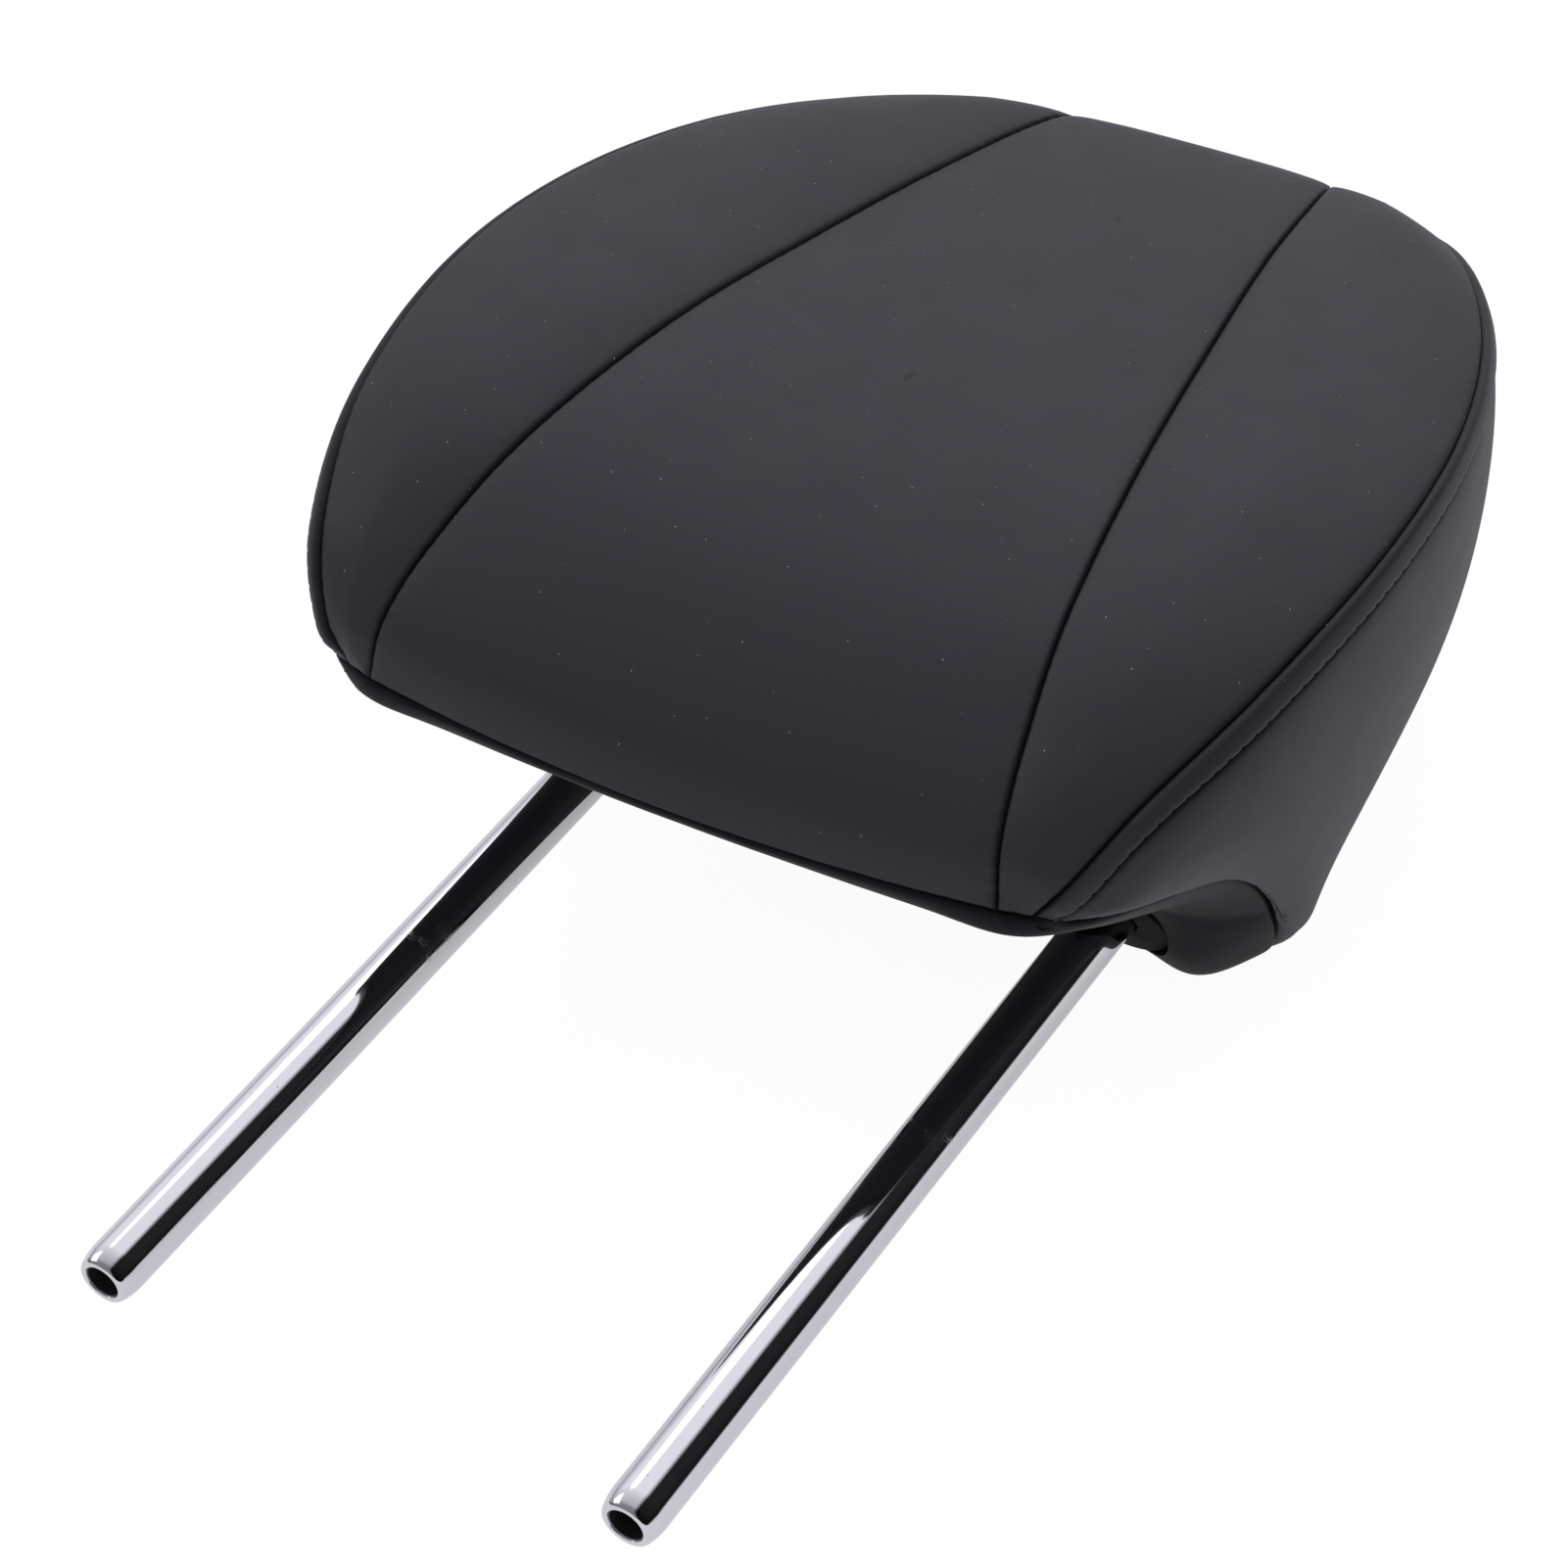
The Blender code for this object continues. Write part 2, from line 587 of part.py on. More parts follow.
def carrier_screw(number, x, y):
    """A pan head screw, from the rear half into the front half."""
    head = -carrier_rear_depth()
    profile = (
        (0.0, screw_reach()), (SCREW_RADIUS * 0.6, screw_reach()), (SCREW_RADIUS, screw_reach() - 0.002),
        (SCREW_RADIUS, head + SCREW_HEAD_HEIGHT), (SCREW_HEAD_RADIUS, head + SCREW_HEAD_HEIGHT),
        (SCREW_HEAD_RADIUS, head + 0.0005), (SCREW_HEAD_RADIUS * 0.85, head), (0.0, head))
    made = turned_solid(f"carrier_screw_{number}", profile, x, y)
    made.data.materials.append(material("zinc steel", (0.55, 0.55, 0.56), 0.35, 1.0))
    return made


def turned_solid(name, profile, x, y):
    """A solid turned about an axis along Z, whose profile ends on the axis."""
    mesh = bmesh.new()
    verts = [mesh.verts.new((radius, 0.0, height)) for radius, height in profile]
    for first, second in zip(verts, verts[1:]):
        mesh.edges.new((first, second))
    made = object_from(name, mesh)
    made.location = (x, y, 0.0)
    screw = made.modifiers.new("turn", 'SCREW')
    screw.axis = 'Z'
    screw.steps = screw.render_steps = ROUND_STEPS // 2
    screw.use_merge_vertices = True
    screw.merge_threshold = 0.00001
    return made


def cross_plate():
    """The pressed steel channel that is welded across the posts."""
    half = POST_SPACING / 2 + PLATE_OVERHANG
    low, high = saddle_places()
    low, high = low + PLATE_LOW_GAP, high - PLATE_TOP_GAP
    base = POST_RADIUS + CLEARANCE
    top = base + PLATE_FLANGE + PLATE_THICKNESS
    line = ((low, top), (low, base + PLATE_BEND), (low + PLATE_BEND, base),
            (high - PLATE_BEND, base), (high, base + PLATE_BEND), (high, top))
    mesh = bmesh.new()
    rows = [[mesh.verts.new((x, y, z)) for y, z in line] for x in (-half, half)]
    add_patch(mesh, rows)
    made = object_from("cross_plate", mesh)
    made.data.materials.append(material("bare steel", (0.42, 0.42, 0.43), 0.4, 1.0))
    thicken = made.modifiers.new("sheet", 'SOLIDIFY')
    thicken.thickness = PLATE_THICKNESS
    thicken.offset = -1.0
    thicken.use_even_offset = True
    for x in (-half / 3, half / 3):
        shape(made, as_cutter(rod(f"plate_hole_{x:.3f}", PLATE_HOLE_RADIUS, 0.0, 2 * base + PLATE_FLANGE,
                                  x=x, y=(low + high) / 2, along='Z')))
    return made


def collar(name, side):
    """The trim collar that closes the cover round a post."""
    inner = POST_RADIUS + CLEARANCE
    back = CARRIER_START - CLEARANCE
    front = COLLAR_FACE - 2 * COLLAR_RADIUS * math.tan(COLLAR_TILT)
    groove = back - COLLAR_GROOVE
    profile = (
        (COLLAR_RADIUS, back), (COLLAR_RADIUS, front), (inner, front), (inner, back),
        (inner + COLLAR_WALL, back), (inner + COLLAR_WALL, groove), (COLLAR_RADIUS - COLLAR_WALL, groove),
        (COLLAR_RADIUS - COLLAR_WALL, back))
    x = side * POST_SPACING / 2
    made = turned(name, profile, x=x)
    lean = Matrix.Translation((x, COLLAR_FACE, 0.0)) @ Matrix.Rotation(COLLAR_TILT, 4, 'X')
    size = 3 * COLLAR_RADIUS
    trim = block(name + "_trim", (-size, -2 * size, -size), (size, 0.0, size))
    trim.matrix_basis = lean
    shape(made, as_cutter(trim))
    dish = rod(name + "_dish", COLLAR_RADIUS - COLLAR_RIM, -size, COLLAR_DISH)
    dish.matrix_basis = lean @ Matrix.Rotation(-math.pi / 2, 4, 'X')
    shape(made, as_cutter(dish))
    made.data.materials.append(material("black plastic", (0.030, 0.030, 0.032), 0.5))
    return made


def collar_holes(made):
    """Cuts the two round holes for the collars through a cover piece or the foam."""
    for side in (-1, 1):
        hole = rod(f"{made.name}_collar_hole_{side}", COLLAR_RADIUS + CLEARANCE, UNDERSIDE_STATIONS[2][1],
                   CARRIER_START + CLEARANCE, x=side * POST_SPACING / 2)
        shape(made, as_cutter(hole))


def cushion():
    """The leather cover, piece by piece, and the foam that fills it."""
    grids = cushion_grids()
    form, corners = joined_form(grids)
    leather = material("black leather", (0.034, 0.034, 0.039), 0.48)
    filled = {}
    crowns = {
        "front_left_panel": WING_CROWN, "front_center_panel": CENTRE_CROWN,
        "front_right_panel": WING_CROWN, "welt_strip": WELT_RISE,
        "left_side_gusset": GUSSET_CROWN, "right_side_gusset": GUSSET_CROWN}
    for name, grid in grids.items():
        vectors = outward_vectors(grid, corners[name])
        dip = SEAM_DEPTH / 2 if name == "welt_strip" else SEAM_DEPTH
        made = cover_mesh(name, grid, vectors, crowns.get(name, 0.0), dip)
        made.data.materials.append(leather)
        if name == "underside_panel":
            collar_holes(made)
        near_seam = np.clip(1 - distance_from_edge(grid) / (2 * EASE_LENGTH), 0.0, 1.0)
        depth = COVER_THICKNESS + CLEARANCE + SEAM_ROOM * near_seam
        filled[name] = grid - vectors * depth[:, :, None]
    for name, points in filled.items():
        for verts, places in zip(corners[name], points):
            for vert, place in zip(verts, places):
                vert.co = place
    foam = object_from("foam_core", form)
    foam.data.materials.append(material("grey foam", (0.30, 0.30, 0.29), 0.9))
    cavity = slab("carrier_cavity", carrier_outline(CLEARANCE), -carrier_rear_depth() - CLEARANCE,
                  CARRIER_FRONT_DEPTH + CLEARANCE, CARRIER_CORNER)
    shape(foam, as_cutter(cavity))
    collar_holes(foam)


def stand_on_floor():
    """Moves the root so that the back rests at zero, centred under the part."""
    bpy.context.view_layer.update()
    graph = bpy.context.evaluated_depsgraph_get()
    corners = []
    for made in PARTS.objects:
        if made.type == 'MESH':
            seen = made.evaluated_get(graph)
            corners += [made.matrix_world @ vert.co for vert in seen.data.vertices]
    low = min(corner.y for corner in corners), min(corner.z for corner in corners)
    high = max(corner.y for corner in corners)
    ROOT.location = (0.0, -(low[0] + high) / 2, -low[1])


def clear_scene():
    """Removes what the scene holds, so that the script can run again."""
    for old in list(bpy.data.objects):
        bpy.data.objects.remove(old, do_unlink=True)
    for group in list(bpy.data.collections):
        bpy.data.collections.remove(group)


clear_scene()
PARTS = bpy.data.collections.new("headrest")
CUTTERS = bpy.data.collections.new("cutters")
ROOT = bpy.data.objects.new("headrest_root", None)
for group in (PARTS, CUTTERS):
    bpy.context.scene.collection.children.link(group)
PARTS.objects.link(ROOT)

for which, hand in (("left", -1), ("right", 1)):
    post(f"{which}_post", hand)
    collar(f"{which}_collar", hand)
cross_plate()
carrier_half("carrier_front_half", 1)
carrier_half("carrier_rear_half", -1)
for index, (screw_x, screw_y) in enumerate(screw_places()):
    carrier_screw(index + 1, screw_x, screw_y)
cushion()
stand_on_floor()
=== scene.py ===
"""Looks of a leather covered car headrest on chromed posts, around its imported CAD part."""

import logging
import math
from collections.abc import Callable, Iterator
from contextlib import contextmanager
from dataclasses import dataclass, field
from enum import Enum

import bmesh
import bpy
import numpy as np
from mathutils import Matrix, Vector, noise


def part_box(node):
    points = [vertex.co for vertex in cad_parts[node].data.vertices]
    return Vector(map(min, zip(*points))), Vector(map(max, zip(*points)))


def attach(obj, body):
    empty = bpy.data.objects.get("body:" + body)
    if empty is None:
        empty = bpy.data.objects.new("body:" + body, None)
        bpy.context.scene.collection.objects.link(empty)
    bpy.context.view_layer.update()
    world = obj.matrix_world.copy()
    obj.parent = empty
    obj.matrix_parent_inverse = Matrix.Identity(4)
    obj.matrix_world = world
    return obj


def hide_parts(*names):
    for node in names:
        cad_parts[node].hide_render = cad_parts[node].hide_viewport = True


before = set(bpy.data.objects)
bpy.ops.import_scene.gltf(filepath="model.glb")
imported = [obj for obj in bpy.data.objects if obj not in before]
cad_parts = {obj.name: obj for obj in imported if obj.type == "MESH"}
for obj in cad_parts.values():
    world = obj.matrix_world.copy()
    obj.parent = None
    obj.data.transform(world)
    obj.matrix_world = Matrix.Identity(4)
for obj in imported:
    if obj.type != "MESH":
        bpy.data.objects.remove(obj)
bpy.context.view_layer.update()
LOG = logging.getLogger("headrest")
SAME_PLACE = 1e-6
NEXT_TO = 20 * SAME_PLACE
KEY_SHIFT = 0.137
BESIDE_SEAM = 0.0006
ALONG_Y = (math.pi / 2, 0.0, 0.0)
ROUND_SIDES = 72
BLACK, WHITE = (0.0, 0.0, 0.0, 1.0), (1.0, 1.0, 1.0, 1.0)
Stations = tuple[tuple[float, float, float], ...]
Object = bpy.types.Object
Material = bpy.types.Material
Socket = bpy.types.NodeSocket
Value = Socket | float
Color = tuple[float, float, float, float]


def spline(stations: Stations, values: np.ndarray) -> np.ndarray:
    """Finds points of a smooth curve through stations.

    Args:
        stations: Points that the curve passes through, evenly numbered.
        values: Places along the curve, from 0 to 1.

    Returns:
        One point for each value.
    """
    points = np.array(stations, dtype=float)
    ends = np.concatenate([2 * points[:1] - points[1:2], points, 2 * points[-1:] - points[-2:-1]])
    place = np.clip(values, 0.0, 1.0) * (len(points) - 1)
    index = np.minimum(place.astype(int), len(points) - 2)
    t = (place - index).reshape((-1,) + (1,) * (points.ndim - 1))
    a, b, c, d = (ends[index + k] for k in range(4))
    return 0.5 * (2 * b + (c - a) * t + (2 * a - 5 * b + 4 * c - d) * t ** 2
                  + (3 * b - a - 3 * c + d) * t ** 3)


def resampled(grid: np.ndarray, rows: int, columns: int) -> np.ndarray:
    """Redraws a grid of points or vectors with other counts.

    Args:
        grid: Rows of points.
        rows: Wanted rows.
        columns: Wanted columns.

    Returns:
        The grid with rows by columns points, on the same smooth surface.
    """
    tall = spline(grid, np.linspace(0.0, 1.0, rows))
    return spline(tall.transpose(1, 0, 2), np.linspace(0.0, 1.0, columns)).transpose(1, 0, 2)


def mirrored(points: np.ndarray) -> np.ndarray:
    """Carries points over the middle plane.

    Args:
        points: The points on one side.

    Returns:
        The same points on the other side.
    """
    return points * np.array((-1.0, 1.0, 1.0))


def between(first: np.ndarray, second: np.ndarray, shares: np.ndarray) -> np.ndarray:
    """Joins two curves with rows of points.

    Args:
        first: The curve where the share is 0.
        second: The curve where the share is 1.
        shares: Shares of the way across.

    Returns:
        One row of points for each pair of curve points.
    """
    part = np.asarray(shares)[None, :, None]
    return first[:, None, :] * (1 - part) + second[:, None, :] * part


def eased(count: int, evenness: float) -> np.ndarray:
    """Spreads values from 0 to 1 that crowd towards both ends.

    Args:
        count: Number of steps between the values.
        evenness: 1 for even steps, less for smaller steps at the ends.

    Returns:
        The values.
    """
    t = np.linspace(0.0, 1.0, count + 1)
    return evenness * t + (1 - evenness) * (1 - np.cos(math.pi * t)) / 2


class Piece(Enum):
    """The sewn pieces of the cover, by their CAD node."""

    LEFT_WING = "front_left_panel"
    CENTRE = "front_center_panel"
    RIGHT_WING = "front_right_panel"
    WELT = "welt_strip"
    RIGHT_GUSSET = "right_side_gusset"
    LEFT_GUSSET = "left_side_gusset"
    UNDERSIDE = "underside_panel"
    BACK = "back_panel"


class Way(Enum):
    """Ways across the patches: steps at the coarsest fineness, and how even they are."""

    LEVELS = (48, 0.30)
    CENTRE = (16, 0.12)
    WING = (8, 0.12)
    WELT = (3, 0.4)
    STEPS = (24, 0.35)


@dataclass(frozen=True)
class CushionForm:
    """The form of the cushion under its cover, from the lip to the top.

    Stations are (across, up from the post ends, forward of the post axes) in
    metres, for the right half.
    """

    seam: Stations = (
        (0.0756, 0.1215, 0.0615), (0.0738, 0.1270, 0.0745), (0.0704, 0.1425, 0.0853),
        (0.0648, 0.1705, 0.0954), (0.0570, 0.2150, 0.0990), (0.0486, 0.2610, 0.0957),
        (0.0413, 0.3020, 0.0909), (0.0360, 0.3370, 0.0840), (0.0333, 0.3500, 0.0786),
        (0.0326, 0.3565, 0.0675))
    front_edge: Stations = (
        (0.0822, 0.1243, 0.0606), (0.0892, 0.1268, 0.0703), (0.0978, 0.1406, 0.0832),
        (0.1082, 0.1705, 0.0939), (0.1134, 0.2120, 0.0992), (0.1100, 0.2520, 0.0985),
        (0.0980, 0.2904, 0.0940), (0.0790, 0.3232, 0.0865), (0.0580, 0.3454, 0.0766),
        (0.0326, 0.3565, 0.0675))
    side_edge: Stations = (
        (0.0865, 0.1252, 0.0606), (0.0922, 0.1281, 0.0663), (0.1005, 0.1395, 0.0785),
        (0.1102, 0.1685, 0.0878), (0.1150, 0.2110, 0.0926), (0.1116, 0.2526, 0.0920),
        (0.0994, 0.2920, 0.0878), (0.0800, 0.3249, 0.0805), (0.0586, 0.3472, 0.0706),
        (0.0326, 0.3586, 0.0610))
    back_edge: Stations = (
        (0.0838, 0.2140, -0.024), (0.0850, 0.2170, -0.024), (0.0862, 0.2225, -0.024),
        (0.0857, 0.2320, -0.024), (0.0772, 0.2520, -0.024), (0.0662, 0.2750, -0.024),
        (0.0580, 0.2970, -0.024), (0.0490, 0.3130, -0.024), (0.0420, 0.3210, -0.024),
        (0.0326, 0.3240, -0.024))
    side_seam: Stations = (
        (0.0865, 0.1252, 0.0606), (0.0928, 0.1343, 0.0576), (0.0964, 0.1515, 0.0507),
        (0.0982, 0.1690, 0.0418), (0.0977, 0.1843, 0.0280), (0.0959, 0.1965, 0.0120),
        (0.0943, 0.2037, -0.0018), (0.0912, 0.2095, -0.0145), (0.0838, 0.2140, -0.024))
    underside: Stations = (
        (0.0, 0.1145, 0.0600), (0.0, 0.1222, 0.0538), (0.0, 0.1345, 0.0442),
        (0.0, 0.1520, 0.0330), (0.0, 0.1700, 0.0235), (0.0, 0.1840, 0.0110),
        (0.0, 0.1910, -0.0040), (0.0, 0.1990, -0.0170), (0.0, 0.2140, -0.024))
    lip_bow: float = 0.0044
    top_bow: float = 0.0020
    wing_bow: float = 0.0020
    low_squareness: float = 1.45
    top_squareness: float = 2.8
    underside_squareness: float = 8.0
    lip_direction: tuple[float, float] = (0.80, 0.60)
    lip_fullness: float = 0.0030
    lip_place: tuple[float, float] = (0.07, 0.88)
    lip_spread: tuple[float, float] = (0.08, 0.16)
    lobe_direction: tuple[float, float] = (0.74, 0.68)
    lobe_height: float = 0.0086
    lobe_place: tuple[float, float] = (0.78, 0.89)
    lobe_spread: tuple[float, float] = (0.17, 0.13)
    crease: float = 0.0011
    crease_place: tuple[float, float] = (0.56, 0.12)
    crease_width: float = 0.022
    crease_bend: int = 6
    crease_start: float = 0.62
    crease_run: float = 0.25
    crease_end: int = 40
    hump_end: int = 12
    lobe_end: int = 10
    lip_power: int = 4
    top_power: int = 6
    seam_reach: float = 0.5
    lip_reach: float = 0.3
    fineness: int = 1

    def shares(self, way: Way) -> np.ndarray:
        """Spreads shares over one way across the patches.

        Args:
            way: The way.

        Returns:
            The shares, from 0 to 1.
        """
        count, evenness = way.value
        return eased(count * self.fineness, evenness)

    def front_grid(self) -> np.ndarray:
        """Draws the front face, from the left wing to the right one.

        Returns:
            Rows of points.
        """
        levels, centre = self.shares(Way.LEVELS), self.shares(Way.CENTRE)
        seam, edge = spline(self.seam, levels), spline(self.front_edge, levels)
        middle = between(mirrored(seam), seam, centre)
        across = (2 * centre - 1)[None, :] ** 2
        low = (1 - levels[:, None]) ** self.lip_power * (1 - across)
        high = levels[:, None] ** self.top_power * (1 - across)
        middle[:, :, 1] += self.top_bow * high - self.lip_bow * low
        middle[:, :, 2] -= (self.seam[0][2] - self.underside[0][2]) * low
        right = between(seam, edge, self.shares(Way.WING))
        right[:, :, 2] += self.wing_bow * np.outer(np.sin(math.pi * levels),
                                                   np.sin(math.pi * self.shares(Way.WING)))
        left = mirrored(right)[:, ::-1]
        return np.concatenate([left[:, :-1], middle, right[:, 1:]], axis=1)

    def arch_curve(self, stations: Stations) -> np.ndarray:
        """Carries a half outline over the top of the cushion.

        Args:
            stations: The right half of the outline.

        Returns:
            The whole outline, from its right end to its left end.
        """
        right = spline(stations, self.shares(Way.LEVELS))
        top = between(right[-1:], mirrored(right[-1:]), self.shares(Way.CENTRE))[0]
        top[:, 1] += self.top_bow * (1 - (2 * self.shares(Way.CENTRE) - 1) ** 2)
        return np.concatenate([right[:-1], top, mirrored(right)[::-1][1:]])

    def side_grid(self) -> np.ndarray:
        """Draws the boxing, from the welt round to the back.

        Returns:
            Rows of points.
        """
        front, back = self.arch_curve(self.side_edge), self.arch_curve(self.back_edge)
        steps = self.shares(Way.STEPS)
        height = (front[:, 1] - front[0, 1]) / np.ptp(front[:, 1])
        squareness = self.low_squareness + (self.top_squareness - self.low_squareness) * height ** 3
        power = 2 / squareness[:, None]
        inward = 1 - np.cos(steps[None] * math.pi / 2) ** power
        down = np.sin(steps[None] * math.pi / 2) ** power
        grid = front[:, None] + (back - front)[:, None] * np.stack([inward, inward, down], axis=2)
        seam = spline(self.side_seam, steps)
        level, levels = np.ones(len(front)), self.shares(Way.LEVELS)
        level[:len(levels)] = levels
        for curve, start, near in ((seam, 0, level), (mirrored(seam), -1, level[::-1])):
            carried = (curve[None] + (front - front[start])[:, None] * (1 - steps)[None, :, None]
                       + (back - back[start])[:, None] * steps[None, :, None])
            fade = np.clip(1 - near / self.seam_reach, 0.0, 1.0)
            weight = (fade ** 2 * (3 - 2 * fade))[:, None, None]
            grid = grid * (1 - weight) + carried * weight
        return grid

    def welt_grid(self) -> np.ndarray:
        """Draws the flat strip that is sewn round the front face.

        Returns:
            Rows of points.
        """
        return between(self.arch_curve(self.front_edge), self.arch_curve(self.side_edge),
                       self.shares(Way.WELT))

    def underside_grid(self) -> np.ndarray:
        """Draws the underside, from the lip to the back, with its lobes.

        Returns:
            Rows of points.
        """
        steps = self.shares(Way.STEPS)
        side, middle = spline(self.side_seam, steps), spline(self.underside, steps)
        welt = self.welt_grid()
        lip = np.concatenate([welt[-1][::-1][:-1], self.front_grid()[0], welt[0][1:]])
        across = lip[:, 0] / lip[-1, 0]
        far = np.abs(across)[None]
        corner = (far ** self.underside_squareness)[:, :, None]
        grid = middle[:, None, :] * (1 - corner) + side[:, None, :] * corner
        grid[:, :, 0] = side[:, None, 0] * across[None]
        for height, direction, place, spread, ends_at_back in (
                (self.lobe_height, self.lobe_direction, self.lobe_place, self.lobe_spread, True),
                (self.lip_fullness, self.lip_direction, self.lip_place, self.lip_spread, False)):
            along = (steps[:, None] - place[0]) / spread[0]
            aside = (far - place[1]) / spread[1]
            hump = np.exp(-along ** 2 - aside ** 2) * (1 - far ** self.hump_end)
            if ends_at_back:
                hump = hump * (1 - steps[:, None] ** self.lobe_end)
            grid[:, :, 1:] -= height * hump[:, :, None] * np.array(direction)
        middle_line = self.crease_place[0] + self.crease_place[1] * far ** self.crease_bend
        fold = np.exp(-((steps[:, None] - middle_line) / self.crease_width) ** 2)
        reach = np.clip((far - self.crease_start) / self.crease_run, 0.0, 1.0)
        grid[:, :, 1] += self.crease * (fold * reach * (1 - far ** self.crease_end))
        fade = (np.clip(1 - steps / self.lip_reach, 0.0, 1.0) ** 2)[:, None, None]
        return grid + (lip - grid[0])[None] * fade

    def back_grid(self) -> np.ndarray:
        """Draws the flat back.

        Returns:
            Rows of points.
        """
        levels = self.shares(Way.LEVELS)
        rim, low = spline(self.back_edge, levels), self.underside_grid()[-1]
        first = len(low) - len(self.shares(Way.WING)) - len(self.shares(Way.WELT)) + 1
        inner = rim.copy()
        inner[:, 0] = low[first, 0] * (1 - levels) + rim[-1, 0] * levels
        inner[:, 1] = rim[0, 1] * (1 - levels) + rim[-1, 1] * levels
        middle = between(mirrored(inner), inner, self.shares(Way.CENTRE))
        middle[:, :, 1] += (self.top_bow * levels[:, None] ** self.top_power
                            * (1 - (2 * self.shares(Way.CENTRE) - 1) ** 2))
        spread = (low[first:, 0] - low[first, 0]) / (low[-1, 0] - low[first, 0])
        right = between(inner, rim, spread)
        left = mirrored(right)[:, ::-1]
        return np.concatenate([left[:, :-1], middle, right[:, 1:]], axis=1)

    def grids(self) -> dict[Piece, np.ndarray]:
        """Draws every patch of the form. Neighbours share their edges.

        Returns:
            Rows of points for each piece.
        """
        front, side = self.front_grid(), self.side_grid()
        wing, middle = len(self.shares(Way.WING)) - 1, len(side) // 2
        return {
            Piece.LEFT_WING: front[:, :wing + 1],
            Piece.CENTRE: front[:, wing:-wing],
            Piece.RIGHT_WING: front[:, -wing - 1:],
            Piece.WELT: self.welt_grid(),
            Piece.RIGHT_GUSSET: side[:middle + 1],
            Piece.LEFT_GUSSET: side[middle:],
            Piece.UNDERSIDE: self.underside_grid(),
            Piece.BACK: self.back_grid(),
        }


@dataclass(frozen=True)
class Press:
    """How the foam presses the cover outwards: the cloth's settings, and a cap in metres."""

    pressure: float = 4.0
    cap: float = 0.0012
    frames: int = 20
    quality: int = 6
    mass: float = 0.3
    stiffness: float = 40.0
    bending: float = 4.0


@dataclass
class SewnForm:
    """All patches of the cushion sewn into one closed mesh."""

    grids: dict[Piece, np.ndarray]
    corners: dict[Piece, np.ndarray] = field(default_factory=dict)
    at_seam: list[int] = field(default_factory=list)
    mesh: bpy.types.Mesh | None = None

    def sew(self) -> None:
        """Joins the patches where their edges share a place."""
        found: dict[tuple[float, ...], int] = {}
        places: list[np.ndarray] = []
        faces: list[list[int]] = []
        seams: set[int] = set()
        for piece, grid in self.grids.items():
            keys = np.floor(grid / NEXT_TO + KEY_SHIFT)
            corner = np.zeros(grid.shape[:2], dtype=int)
            for i in range(grid.shape[0]):
                for j in range(grid.shape[1]):
                    key = tuple(keys[i, j])
                    if key not in found:
                        found[key] = len(places)
                        places.append(grid[i, j])
                    corner[i, j] = found[key]
            self.corners[piece] = corner
            seams |= set(corner[0]) | set(corner[-1]) | set(corner[:, 0]) | set(corner[:, -1])
            for i in range(grid.shape[0] - 1):
                for j in range(grid.shape[1] - 1):
                    face = [corner[i, j], corner[i, j + 1], corner[i + 1, j + 1], corner[i + 1, j]]
                    face = list(dict.fromkeys(face))
                    if len(face) > 2:
                        faces.append(face)
        self.at_seam = sorted(int(k) for k in seams)
        self.mesh = bpy.data.meshes.new("sewn_form")
        self.mesh.from_pydata([tuple(p) for p in places], [], faces)
        work = bmesh.new()
        work.from_mesh(self.mesh)
        bmesh.ops.recalc_face_normals(work, faces=work.faces)
        work.to_mesh(self.mesh)
        work.free()
        self.mesh.update()

    def outward(self, piece: Piece) -> np.ndarray:
        """Finds outward directions that neighbours share at their seam.

        Args:
            piece: The patch to look at.

        Returns:
            One unit vector for each point of the patch.
        """
        normals = np.zeros(len(self.mesh.vertices) * 3)
        self.mesh.vertices.foreach_get("normal", normals)
        return normals.reshape(-1, 3)[self.corners[piece]]

    def breathed(self, press: Press, held: set[Piece]) -> np.ndarray:
        """Lets the foam press the cover outwards between its seams.

        Args:
            press: How the foam presses.
            held: Pieces that stay as drawn.

        Returns:
            The move of each vertex.
        """
        rest = np.array([v.co for v in self.mesh.vertices])
        cover = bpy.data.objects.new("sewn_form", self.mesh.copy())
        bpy.context.scene.collection.objects.link(cover)
        pins = cover.vertex_groups.new(name="pins")
        fixed = set(self.at_seam)
        for piece in held:
            fixed |= {int(k) for k in self.corners[piece].ravel()}
        pins.add(sorted(fixed), 1.0, 'REPLACE')
        cloth = cover.modifiers.new("foam_pressure", 'CLOTH')
        settings = cloth.settings
        settings.quality, settings.mass = press.quality, press.mass
        settings.vertex_group_mass = pins.name
        settings.use_pressure = True
        settings.uniform_pressure_force = press.pressure
        settings.effector_weights.gravity = 0.0
        settings.tension_stiffness = settings.compression_stiffness = press.stiffness
        settings.bending_stiffness = press.bending
        scene = bpy.context.scene
        for number in range(1, press.frames + 1):
            scene.frame_set(number)
        select_only(cover)
        bpy.ops.object.modifier_apply(modifier=cloth.name)
        move = np.array([v.co for v in cover.data.vertices]) - rest
        far = np.linalg.norm(move, axis=1, keepdims=True)
        move *= np.minimum(1.0, press.cap / np.maximum(far, SAME_PLACE))
        bpy.data.objects.remove(cover)
        scene.frame_set(1)
        LOG.info("cover pressed out by up to %.1f mm", 1000 * min(press.cap, far.max()))
        return move


def select_only(*chosen: Object) -> None:
    """Deselects everything and then selects the given objects.

    Args:
        chosen: The objects to select; the first one becomes active.
    """
    if bpy.context.object and bpy.context.object.mode != 'OBJECT':
        bpy.ops.object.mode_set(mode='OBJECT')
    bpy.ops.object.select_all(action='DESELECT')
    for made in chosen:
        made.select_set(True)
    bpy.context.view_layer.objects.active = chosen[0]


